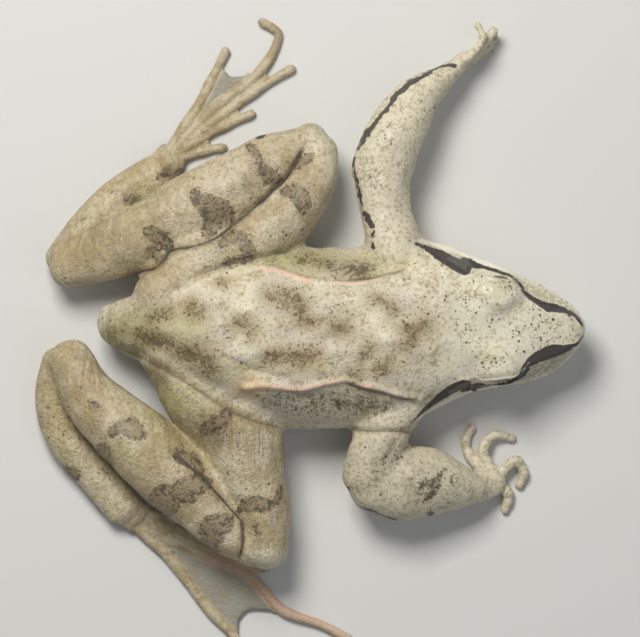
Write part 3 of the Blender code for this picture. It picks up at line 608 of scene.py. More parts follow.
relief = {
    # along each line: height and half width, mm
    "foldLeft": (0.36, 0.42), "foldRight": (0.42, 0.42), "underFold": (-0.13, 0.4), "overFold": (-0.14, 0.4),
    "backGroove": (-0.24, 0.5), "legLeft": (-0.26, 0.32), "legRight": (-0.26, 0.32), "calfRight": (-0.2, 0.4),
    "hipRight": (-0.26, 0.6), "hipLeft": (-0.24, 0.4),
    "elbowRight": (-0.20, 0.5), "armpitRight": (-0.30, 0.42), "spine": (-0.12, 0.9), "tailRidge": (0.22, 0.9),
    # noise over the back, the flanks and the limbs: height and size in mm, seed, stretch
    "backLump": (0.22, 4.6, 3, (0.8, 1.15, 1)), "smallLump": (0.21, 2.0, 5, (0.8, 1.15, 1)),
    "wrinkle": (0.12, 0.9, 12, (1.3, 0.6, 0.55)),
    "muscle": (0.30, 4.2, 21, (1, 1, 1)), "knot": (0.12, 1.8, 22, (1, 1, 1)),
    "pimple": (0.055, 0.95, 8), "finePimple": (0.6, 0.55, 9),  # the fine ones as shares of the others
    "pimpleUnder": 0.4, "pimpleHead": 0.8,  # how strong underneath, and how much is lost on the head
    # on the head
    "canthus": (0.2, 0.55), "cheekHollow": (-0.3, 1.0), "lip": (0.14, 0.4), "mouthLine": (-0.3, 0.2),
    "earFold": (0.34, 0.5), "nostrilPit": (-0.42, 0.3), "nostrilRim": (0.1, 0.6),
    "earRim": (0.13, 0.25),
}

lumps = [
    # ovals of (pixel x, pixel y, half width, half height, strength in mm)
    (202, 287, 13, 6, 0.35), (251, 307, 13, 9, 0.3), (250, 351, 17, 12, 0.38), (323, 331, 9, 6, 0.26),
    (384, 337, 13, 9, 0.32), (333, 352, 14, 8, 0.28), (361, 303, 13, 12, 0.22), (410, 298, 20, 16, 0.22),
    (270, 311, 18, 7, 0.16), (222, 333, 11, 6, 0.24), (430, 350, 20, 12, 0.2), (160, 325, 16, 10, 0.16),
    (395, 318, 12, 8, -0.16), (300, 330, 14, 6, -0.2), (350, 320, 12, 7, -0.16), (225, 310, 12, 8, -0.18),
    (504, 325, 12, 16, -0.2), (475, 288, 24, 14, 0.28), (480, 353, 24, 13, 0.28), (455, 320, 14, 14, -0.1),
    (252, 388, 10, 5, 0.2),
]

spans = {
    # where an effect begins and where it is full, in mm; a slope is the normal's upward part
    "backSlope": (0.05, 0.5), "lineSlope": (-0.2, 0.3), "lineZ": (3.6, 4.6), "offTrunk": (0.5, 1.5),
    "backX": (-27, -22), "neckX": (12, 19), "backZ": (7.5, 9.5), "lumpZ": (6.5, 8.0),
    "flankSlope": (0.25, 0.6), "flankZ": (2.5, 5.0), "shoulderX": (10, 13), "limbZ": (2.4, 4.4),
    "pimpleZ": (1.4, 2.6), "headX": (13, 18), "drum": (1.1, 1.6), "moundSlope": (0.3, 0.8),
    "digit": (0.1, 0.3),
    # and for the paint
    "markSlope": (-0.45, 0.15), "paintOffTrunk": (0.4, 1.2), "markZ": (2.6, 3.6), "lowBandZ": (3.6, 4.4),
    "aboveMouth": (0.35, 0.9), "eyeSkin": (2.35, 2.65), "lidSlope": (0.1, 0.4), "creaseZ": (3.2, 4.2),
    "underSlope": (-0.55, 0.0), "bellyZ": (1.6, 3.6), "flankMarkZ": (3.4, 5.6), "foreX": (-1.0, 3.0),
    "footZ": (1.6, 2.6), "webZ": (1.15, 1.5), "webEdge": (0.15, 0.5), "toeEdge": (0.2, 0.7),
    "pinkEdge": (0.1, 0.9), "creaseEdge": (0.5, 0.9), "creaseEnd": (0, 8),
}


def ramp(name, value):
    # the smooth step over the span of that name
    return smoothStep(*spans[name], value)


# One skin: everything above fused, evened and refined where the detail is

skinMesh = {
    "voxel": 0.45,  # mm
    "evenSteps": 3,
    # where limbs join the trunk: how much the skin softens and how far round
    "joints": {
        "upperArmLeft": (1.0, 1.6), "upperArmRight": (0.4, 1.0),
        "thighLeft": (0.5, 1.0), "thighRight": (0.5, 1.0),
    },
    "jointSteps": 16, "limbSteps": 90, "lidSteps": 7, "lidWeight": 0.8,
    "strip": 0.9, "stripZ": 3.6,  # refined each side of a fold or crease, and above this height
    "digitStrip": 0.4,
    "headFrom": (13.5, 4.2), "headMiddle": -1.2, "headHalf": 11.5,  # x and z, then y
    "eyeReach": 3.3, "eyeSide": 3.6,  # from the eye's middle, and from the head's middle plane
}


def makeMesh(name, points, faces):
    mesh = bpy.data.meshes.new(name)
    mesh.from_pydata(np.asarray(points).tolist(), [], faces)
    mesh.update()
    return mesh


def readMesh(mesh):
    points = np.empty(len(mesh.vertices) * 3)
    mesh.vertices.foreach_get("co", points)
    edges = np.empty(len(mesh.edges) * 2, dtype=np.int64)
    mesh.edges.foreach_get("vertices", edges)
    return points.reshape(-1, 3), edges.reshape(-1, 2)


def placeMesh(mesh, points):
    mesh.vertices.foreach_set("co", points.ravel())
    mesh.update()


def pointNormals(mesh):
    normals = np.empty(len(mesh.vertices) * 3)
    mesh.vertex_normals.foreach_get("vector", normals)
    return normals.reshape(-1, 3)


def editMesh(mesh, change):
    # opens the mesh for a change and writes it back
    made = bmesh.new()
    made.from_mesh(mesh)
    change(made)
    made.to_mesh(mesh)
    made.free()
    return mesh


def neighbourMean(values, edges):
    # the mean over each point's neighbours
    count = len(values)
    a, b = edges.T
    near = np.bincount(a, minlength=count) + np.bincount(b, minlength=count)
    sums = [np.bincount(a, v[b], count) + np.bincount(b, v[a], count) for v in values.reshape(count, -1).T]
    return (np.array(sums) / near).T.reshape(values.shape)


def even(points, edges, steps, weight=1.0):
    # Taubin's rule: half way to the neighbours' mean, then a little more than that back
    for _ in range(steps):
        points = points + 0.5 * weight * (neighbourMean(points, edges) - points)
        points = points - 0.52 * weight * (neighbourMean(points, edges) - points)
    return points


def soften(points, edges, steps, weight):
    # half way to the neighbours' mean, over and over, where the weight says
    for _ in range(steps):
        points = points + 0.5 * weight * (neighbourMean(points, edges) - points)
    return points


def fused(parts):
    points, faces, start = [], [], 0
    for spots, cells in parts:
        points.append(spots)
        faces += [[start + v for v in cell] for cell in cells]
        start += len(spots)
    draft = bpy.data.objects.new("draft", makeMesh("draft", np.concatenate(points), faces))
    bpy.context.scene.collection.objects.link(draft)
    remesh = draft.modifiers.new("fuse", "REMESH")
    remesh.mode = "VOXEL"
    remesh.voxel_size = skinMesh["voxel"]
    graph = bpy.context.evaluated_depsgraph_get()
    mesh = bpy.data.meshes.new_from_object(draft.evaluated_get(graph))
    bpy.data.objects.remove(draft)
    return mesh


def mainPart(mesh):
    # each point takes the lowest label near it until a whole piece shares one, and the small pieces go
    points, edges = readMesh(mesh)
    label = np.arange(len(points))
    while True:
        low = label[edges].min(axis=1)
        after = label.copy()
        np.minimum.at(after, edges[:, 0], low)
        np.minimum.at(after, edges[:, 1], low)
        after = after[after]
        if np.array_equal(after, label):
            break
        label = after
    spare = np.flatnonzero(label != np.bincount(label).argmax())

    def clear(made):
        made.verts.ensure_lookup_table()
        bmesh.ops.delete(made, geom=[made.verts[i] for i in spare], context="VERTS")

    return editMesh(mesh, clear)


def refined(mesh, inside):
    # every face whose middle passes the test is split in four
    def split(made):
        made.faces.ensure_lookup_table()
        middles = np.array([face.calc_center_median()[:] for face in made.faces])
        chosen = np.flatnonzero(inside(middles))
        edges = dict.fromkeys(edge for i in chosen for edge in made.faces[i].edges)
        bmesh.ops.subdivide_edges(made, edges=list(edges), cuts=1, use_grid_fill=True)

    return editMesh(mesh, split)


def headZone(points):
    x, z = skinMesh["headFrom"]
    beside = np.abs(points[:, 1] - skinMesh["headMiddle"])
    return (points[:, 0] > x) & (beside < skinMesh["headHalf"]) & (points[:, 2] > z)


def digitStrokes():
    paths = []
    for word in ("left", "right"):
        paths += [digitRows(path, feet["toeRadius"]) for path in toePaths(feet[word])]
        paths += [digitRows(path, hands["radius"]) for path in hands[word]["fingers"]]
    return [brush(rows[:, :4]) for rows in paths]


def digitZone(points):
    return leastStroke(points, digitStrokes(), 1.0) < skinMesh["digitStrip"]


def lineZone(points):
    near = [drawn(lines[name]) for name in lines if name not in ("spine", "tailRidge")]
    near += [drawn(stroke) for stroke in marks["armLine"]]
    return (leastStroke(points, near, 1.5) < skinMesh["strip"]) & (points[:, 2] > skinMesh["stripZ"])


def fineZone(points):
    return headZone(points) | digitZone(points) | lineZone(points)


def eyeZone(points):
    return (eyeDistance(points) < skinMesh["eyeReach"]) & (np.abs(toHead(points)[:, 1]) > skinMesh["eyeSide"])


def limbField(points, stations):
    # how far outside the limb's oval: (√((u/a)²+(v/b)²+(w/c)²) - 1) times its mean radius
    rows = resample(stations, skinMesh["limbSteps"])
    path = rows[:, :3]
    along, across, up = pathFrame(path)
    square = (points**2).sum(axis=1)[:, None] - 2 * points @ path.T + (path**2).sum(axis=1)
    i = square.argmin(axis=1)
    away = points - path[i]
    u, v, w = ((away * axis[i]).sum(axis=1) for axis in (across, up, along))
    over = np.sqrt((u / rows[i, 3]) ** 2 + (v / rows[i, 4]) ** 2 + (w / rows[i, 3:5].min(axis=1)) ** 2)
    return (over - 1) * rows[i, 3:5].mean(axis=1)


def bodyField(points):
    # how far outside the body's section, along the line from its middle
    spots = toHead(points)
    x = np.linspace(body["stations"][0, 0], body["stations"][-1, 0], body["fieldRings"])
    ring = sections(x)
    pivot = rollAt(x)[2]
    middle = pivot[:, None]
    angle = np.arctan2(ring[:, :, 1] - middle, ring[:, :, 0])
    radius = np.hypot(ring[:, :, 1] - middle, ring[:, :, 0])
    turns = np.linspace(-math.pi, math.pi, body["fieldTurns"] + 1)
    table = np.empty((len(x), len(turns)))
    for k in range(len(x)):
        order = np.argsort(angle[k])
        table[k] = np.interp(turns, angle[k][order], radius[k][order], period=2 * math.pi)
    high = spots[:, 2] - hermite(body["stations"][:, 0], body["stations"][:, 8], spots[:, 0])
    j = (np.arctan2(high, spots[:, 1]) + math.pi) / (2 * math.pi) * body["fieldTurns"]
    i = (np.clip(spots[:, 0], x[0], x[-1]) - x[0]) / (x[1] - x[0])
    skin = table[np.rint(i).astype(int), np.rint(j).astype(int)]
    past = np.maximum(x[0] - spots[:, 0], spots[:, 0] - x[-1]).clip(0, None)
    return np.hypot(high, spots[:, 1]) - skin + past


def headStrokes(hand):
    # the mouth's height picks the turn of its line at each place, and the lip runs just above it
    mouth = np.array(head["mouth"])
    ring = sections(mouth[:, 0])
    half = ring[:, : ring.shape[1] // 2]
    pick = [np.abs(h[len(h) // 3:, 1] - z).argmin() + len(h) // 3 for h, z in zip(half, mouth[:, 1])]
    line = np.column_stack([mouth[:, 0], np.array(pick) * body["turnStep"] / body["perSpan"]])
    knots = {"mouthLine": line, "lip": line - (0, head["lipTurn"]), **head["strokes"]}
    return {name: bodyStroke(rows, hand) for name, rows in knots.items()}


def bodyStroke(spots, hand):
    # a stroke over the head from (x, turn) knots
    places = onBody(spots, hand)
    return brush(np.column_stack([places, np.zeros(len(places))]))


def headSpots(hand):
    # the middles of the nostril and the ear
    return onBody([head["nostril"], head["ear"]], hand)


def gazeAxes(hand):
    # ahead along the gaze, level to its right, and up from both
    x, side, up = head["gaze"]
    ahead = np.array([x, side * hand, up])
    ahead /= np.linalg.norm(ahead)
    right = np.cross((0, 0, 1.0), ahead)
    right /= np.linalg.norm(right)
    return ahead, right, np.cross(ahead, right)


def openEyes(points):
    # about each eye the skin goes in behind the ball inside the opening, and has a rolled rim round it
    ball, clear = head["eyeRadius"], head["lidClear"]
    rimHeight, rimPlace, rimSpread = head["lidRim"]
    for hand in (1, -1):
        centre = eyeCentre(hand)
        away = points - centre
        near = np.flatnonzero(np.linalg.norm(away, axis=1) < head["lidReach"])
        ahead, right, up = gazeAxes(hand)
        local = away[near] @ np.column_stack([right, up, ahead])
        distance = np.linalg.norm(local, axis=1)
        a = np.degrees(np.arctan2(local[:, 0], local[:, 2]))
        b = np.degrees(np.arctan2(local[:, 1], local[:, 2]))
        tall = np.where(b > 0, *head["eyeTall"])
        gap = (np.sqrt((a / head["eyeWide"]) ** 2 + (b / tall) ** 2) - 1) * head["lidScale"]
        gap = np.where(local[:, 2] / distance > head["lidFront"], gap, head["lidFar"])
        opened = 1 - smoothStep(*head["lidEdge"], gap)
        target = distance * (1 - opened) + (ball - head["lidDepth"]) * opened
        target = target + rimHeight * bell(gap - rimPlace, rimSpread) * (distance > ball - clear)
        target = np.where((gap > 0) & (gap < head["lidNear"]), np.maximum(target, ball + clear), target)
        points[near] = centre + away[near] * (target / distance)[:, None]
    return points


def shapeSkin(mesh):
    # evens the whole skin, then softens it where limbs join the trunk and round the lids
    points, edges = readMesh(mesh)
    points = even(points, edges, skinMesh["evenSteps"])
    trunk = np.abs(bodyField(points))
    joint = np.zeros(len(points))
    for name, (amount, reach) in skinMesh["joints"].items():
        gap = np.abs(limbField(points, limbs[name]))
        joint = np.maximum(joint, amount * bell(np.maximum(gap, trunk), reach))
    points = soften(points, edges, skinMesh["jointSteps"], joint[:, None])
    lids = bell(eyeDistance(points) - head["lidReach"], 1.0)
    placeMesh(mesh, soften(points, edges, skinMesh["lidSteps"], lids[:, None] * skinMesh["lidWeight"]))
    return mesh


def roundDigits(points, normals):
    # each point near a finger or toe goes to its true round surface
    gap = leastStroke(points, digitStrokes(), 1.0)
    return points - normals * (gap * (1 - ramp("digit", np.abs(gap))))[:, None]


def backRelief(points, normals):
    # height·bell along each line, then height·noise, each where it belongs
    x, z, slope = points[:, 0], points[:, 2], normals[:, 2]
    upper = ramp("backSlope", slope)
    trunk = 1 - ramp("offTrunk", np.abs(bodyField(points)))
    onBack = upper * ramp("backX", x) * (1 - ramp("neckX", x)) * trunk * ramp("backZ", z)
    onFlank = trunk * (1 - ramp("flankSlope", slope)) * ramp("flankZ", z) * (1 - ramp("shoulderX", x))
    onLimb = (1 - trunk) * ramp("limbZ", z)
    onLine = ramp("lineSlope", slope) * ramp("lineZ", z)
    amount = np.zeros(len(points))
    for name, rows in lines.items():
        height, width = relief[name]
        amount += height * bell(strokeDistance(points, drawn(rows)), width) * onLine
    amount += ovals(points, lumps) * upper * trunk * ramp("lumpZ", z)
    for key, where in (("backLump", onBack), ("smallLump", onBack), ("wrinkle", onFlank),
                       ("muscle", onLimb), ("knot", onLimb)):
        height, size, seed, stretch = relief[key]
        amount += height * noise(points * stretch, size, seed) * where
    height, size, seed = relief["pimple"]
    share, finer, fineSeed = relief["finePimple"]
    grain = noise(points, size, seed) + share * noise(points, size * finer, fineSeed)
    onHead = ramp("headX", x) * (np.abs(toHead(points)[:, 1]) < head["half"])
    least = relief["pimpleUnder"]
    grain = height * grain * (least + (1 - least) * upper) * (1 - relief["pimpleHead"] * onHead)
    return amount + grain * ramp("pimpleZ", z)


def headRelief(points, normals):
    # height·bell along each stroke and round each nostril, drum and lid
    amount = np.zeros(len(points))
    spots = toHead(points)
    rise, x, side, long, wide = head["lidMound"]
    for hand in (1, -1):
        for name, stroke in headStrokes(hand).items():
            height, width = relief[name]
            amount += height * bell(strokeDistance(points, stroke), width)
        nostril, ear = (np.linalg.norm(points - place, axis=1) for place in headSpots(hand))
        for key, gap in (
                ("nostrilPit", nostril), ("nostrilRim", nostril), ("earRim", ear - head["earRadius"])):
            height, width = relief[key]
            amount += height * bell(gap, width)
        amount -= head["drumDip"] * (1 - ramp("drum", ear))
        mound = bell(np.hypot((spots[:, 0] - x) / long, (spots[:, 1] * hand - side) / wide), 1.0)
        amount += rise * mound * ramp("moundSlope", normals[:, 2])
    return amount


def buildSkin():
    mesh = mainPart(fused(allParts()))
    print("fused", len(mesh.vertices))
    mesh = shapeSkin(mesh)
    mesh = refined(refined(mesh, fineZone), eyeZone)
    print("refined", len(mesh.polygons))
    points, edges = readMesh(mesh)
    fine = fineZone(points).astype(float)[:, None]
    points = even(points, edges, skinMesh["evenSteps"], fine)
    placeMesh(mesh, points)
    points = roundDigits(points, pointNormals(mesh))
    placeMesh(mesh, points)
    normals = pointNormals(mesh)
    points = points + normals * (backRelief(points, normals) + headRelief(points, normals))[:, None]
    placeMesh(mesh, openEyes(points))
    return mesh


# Markings: how far each point of the skin is from the edge of each mark, in mm, for the paint to read

marks = {
    # strokes of (pixel x, pixel y, radius in mm)
    "blotches": [
        [(266, 295, 0.3), (276, 298, 0.9), (284, 297, 0.7), (294, 299, 1.0), (300, 306, 1.0),
         (302, 316, 0.9), (312, 322, 0.6), (324, 322, 0.45)],
        [(330, 324, 0.4), (338, 328, 0.7), (346, 329, 0.6), (350, 322, 0.4)],
        [(374, 298, 0.35), (382, 302, 0.6), (390, 305, 0.5), (394, 311, 0.35)],
        [(402, 328, 0.4), (410, 331, 0.8), (420, 327, 0.8), (427, 322, 0.4)],
        [(410, 338, 0.5), (404, 346, 0.5)],
        [(266, 358, 0.5), (275, 356, 0.8), (288, 356, 0.9), (300, 356, 1.0), (312, 355, 0.9),
         (320, 352, 0.4)],
        [(361, 360, 0.35), (366, 353, 0.5), (370, 348, 0.5)],
        [(376, 368, 0.4), (383, 366, 0.6), (389, 362, 0.4)],
        [(350, 372, 0.3), (356, 376, 0.45), (360, 370, 0.3)],
        [(236, 320, 0.3), (244, 326, 0.5), (252, 331, 0.5), (252, 339, 0.3)],
        [(190, 306, 0.5), (196, 312, 0.8), (203, 309, 0.3)],
        [(220, 281, 0.3), (224, 283, 0.4)],
        [(342, 270, 0.4), (352, 272, 0.8), (362, 274, 0.8), (370, 270, 0.4)],
        [(180, 352, 0.6), (195, 358, 0.8), (208, 362, 0.8), (214, 370, 0.6), (205, 372, 0.5)],
        [(152, 318, 0.4), (166, 316, 0.6)],
        [(140, 336, 0.4), (160, 342, 0.6), (172, 346, 0.4)],
        [(300, 258, 0.4), (318, 262, 0.6), (330, 266, 0.4)],
    ],
    "bands": [
        [(250, 147, 0.5), (255, 152, 0.6), (260, 164, 0.5), (270, 176, 1.0), (278, 179, 0.7)],
        [(195, 195, 0.8), (203, 202, 1.2), (212, 208, 1.6), (222, 213, 1.5), (230, 220, 0.8)],
        [(213, 222, 1.2), (208, 232, 0.8)],
        [(150, 232, 0.8), (160, 238, 1.0), (168, 246, 0.9)],
        [(152, 250, 0.6), (160, 258, 0.8)],
        [(295, 165, 0.5), (303, 162, 0.6), (312, 157, 0.4)],
        [(284, 192, 0.5), (294, 192, 0.9), (300, 198, 1.2), (303, 206, 0.9), (302, 214, 0.4)],
        [(222, 244, 0.5), (232, 238, 0.9), (240, 238, 0.9), (246, 246, 0.9), (250, 256, 0.8),
         (240, 260, 0.6), (228, 262, 0.5)],
        [(100, 446, 0.5), (104, 455, 0.9), (106, 465, 0.9), (105, 474, 0.6)],
        [(112, 432, 0.6), (125, 426, 0.9), (135, 430, 1.1), (142, 434, 0.7), (132, 420, 0.6)],
        [(152, 508, 0.4), (158, 500, 1.2), (165, 495, 1.5), (170, 503, 1.3), (166, 512, 0.9)],
        [(180, 488, 1.1), (190, 485, 1.2), (200, 486, 1.0), (207, 482, 0.7), (195, 478, 0.6)],
        [(183, 496, 0.9), (192, 497, 0.5)],
        [(204, 530, 0.8), (212, 525, 1.3), (222, 524, 1.3), (230, 520, 0.6)],
        [(214, 536, 1.2), (207, 544, 0.9), (214, 548, 0.6)],
        [(93, 403, 0.5), (98, 406, 0.4)],
        [(240, 510, 0.5), (248, 505, 0.9), (256, 503, 1.0), (264, 505, 0.8), (272, 503, 0.6),
         (278, 498, 0.5), (280, 488, 0.3)],
        [(205, 430, 0.8), (213, 425, 1.1), (222, 420, 1.0), (228, 412, 0.7)],
        [(256, 526, 0.3), (258, 534, 0.3)],
        [(180, 455, 0.9), (195, 462, 0.8), (200, 470, 0.6)],
        [(440, 474, 0.1), (438, 486, 0.2), (432, 494, 0.2), (424, 500, 0.2)],
        [(425, 482, 0.2), (420, 490, 0.25)],
        [(444, 470, 0.15), (436, 480, 0.2), (430, 486, 0.2)],
        [(452, 478, 0.05), (450, 486, 0.05)],
    ],
    "lowBands": [
        [(112, 194, 0.5), (125, 197, 0.9), (136, 199, 0.6)],
        [(160, 176, 0.5), (168, 170, 0.8), (176, 166, 0.5)],
        [(178, 548, 0.4), (187, 556, 0.6)],
        [(66, 470, 0.5), (74, 476, 0.8)],
    ],
    "dark": [
        [(364, 213, 0.2), (367, 218, 0.28), (371, 223, 0.34), (372, 226, 0.2)],
        [(372, 234, 0.2), (373, 237, 0.2)],
        [(373, 245, 0.1), (373, 248, 0.1)],
        [(257, 136, 0.25), (262, 134, 0.33), (265, 133, 0.2)],
        [(345, 490, 0.25), (348, 488, 0.2)],
        [(344, 497, 0.1), (352, 504, 0.16), (362, 509, 0.14), (372, 512, 0.18), (383, 517, 0.14),
         (395, 520, 0.16), (410, 523, 0.1)],
        [(60, 432, 0.25), (62, 436, 0.15)],
        [(68, 417, 0.15), (69, 418, 0.15)],
        [(47, 420, 0.12), (48, 421, 0.1)],
        [(82, 443, 0.15), (84, 444, 0.15)],
        [(430, 515, 0.25), (432, 514, 0.2)],
    ],
    "armLine": [
        [(455, 65, 0.08), (448, 64, 0.1), (440, 66, 0.14), (432, 70, 0.18), (424, 75, 0.22), (415, 80, 0.22),
         (408, 84, 0.26), (402, 90, 0.28), (396, 96, 0.26), (391, 104, 0.24), (386, 110, 0.26),
         (380, 116, 0.24), (376, 121, 0.18), (371, 128, 0.22), (366, 134, 0.38), (364, 138, 0.22),
         (360, 144, 0.18), (357, 150, 0.14)],
        [(354, 158, 0.08), (353, 165, 0.12), (355, 173, 0.06), (357, 181, 0.14), (358, 190, 0.08),
         (360, 198, 0.12), (362, 206, 0.06)],
    ],
    # the second stroke runs along the left lid's edge: its dark is partly painted shade under the lid
    "mask": [
        [(407, 240, 0.06), (418, 244.5, 0.18), (425, 247.5, 0.32), (432, 251, 0.45), (440, 255.5, 0.65),
         (450, 261.5, 0.78), (458, 265.5, 0.88), (464, 268, 0.92)],
        [(462, 258, 0.2), (468, 262, 0.5), (473, 264, 0.42), (478, 266, 0.32), (484, 267, 0.22),
         (490, 269, 0.18), (500, 272, 0.2), (510, 276.2, 0.2), (518, 282.5, 0.2), (523, 289, 0.2)],
        [(522, 290, 0.18), (530, 297, 0.3), (540, 303, 0.42), (548, 307, 0.54), (555, 308, 0.54),
         (562, 310, 0.38), (570, 313, 0.26), (576, 316.5, 0.24), (583, 326, 0.16)],
    ],
    # the second stroke runs along the right lid's edge: its dark is partly painted shade under the lid
    "maskRight": [
        [(466, 384, 0.25), (475, 390, 0.3)],
        [(475, 389, 0.14), (490, 385.5, 0.12), (500, 383.5, 0.12), (510, 380.5, 0.12), (516, 378, 0.12),
         (520, 374, 0.12), (522, 369, 0.12), (524, 365, 0.16)],
        [(506, 383, 0.15), (515, 379.5, 0.28), (522, 375, 0.32), (528, 369, 0.3)],
        [(527, 367, 0.2), (534, 362, 0.34), (542, 358, 0.42), (552, 355, 0.42), (561, 352, 0.34),
         (571, 348.5, 0.2)],
        [(524, 365, 0.18), (530, 359, 0.3), (538, 355, 0.54), (545, 352.5, 0.66), (552, 350.5, 0.76),
         (558, 349.5, 0.6), (563, 348, 0.38), (570, 346.5, 0.26), (578, 343.5, 0.22), (584, 336, 0.16)],
    ],
    "lip": [
        [(420, 241, 0.25), (430, 242, 0.3), (440, 245, 0.3), (450, 249, 0.3), (460, 252, 0.32),
         (470, 256, 0.34), (480, 261, 0.34), (490, 264, 0.32), (500, 267, 0.3), (510, 271, 0.2)],
    ],
    "cheek": [
        [(508, 276, 0.3), (521, 283.5, 0.5), (538, 292.5, 0.6), (553, 298.5, 0.55), (566, 306, 0.4),
         (578, 314, 0.25)],
    ],
    "cheekRight": [
        [(527, 374, 0.35), (540, 366, 0.6), (552, 361, 0.6), (566, 355, 0.45), (577, 348, 0.25)],
    ],
    "pink": [
        [(255, 268, 0.16), (268, 269, 0.22), (280, 271, 0.24), (290, 274, 0.26), (300, 278, 0.24),
         (312, 281, 0.16)],
        [(268, 384, 0.14), (280, 387, 0.2), (290, 388.5, 0.2), (302, 389, 0.22), (315, 386, 0.2),
         (330, 382.5, 0.2), (340, 381, 0.2), (346, 380, 0.12)],
        [(358, 384, 0.08), (372, 387, 0.16), (380, 390, 0.08)],
    ],
    "creamFold": [
        [(326, 284, 0.16), (335, 283.5, 0.2), (350, 284, 0.22), (362, 283, 0.2), (374, 281, 0.16),
         (388, 276, 0.1)],
    ],
    "flank": [
        [(258, 396, 0.4), (272, 399, 0.9), (290, 402, 1.3), (315, 403, 1.7), (345, 401, 1.8),
         (372, 404, 1.4), (392, 408, 0.8), (404, 410, 0.4)],
        [(330, 264, 0.3), (345, 266, 0.6), (362, 267, 0.7), (378, 264, 0.4)],
    ],
    "peach": [
        [(236, 389, 0.5), (247, 386, 1.1), (258, 386, 0.9), (268, 388, 0.3)],
    ],
}

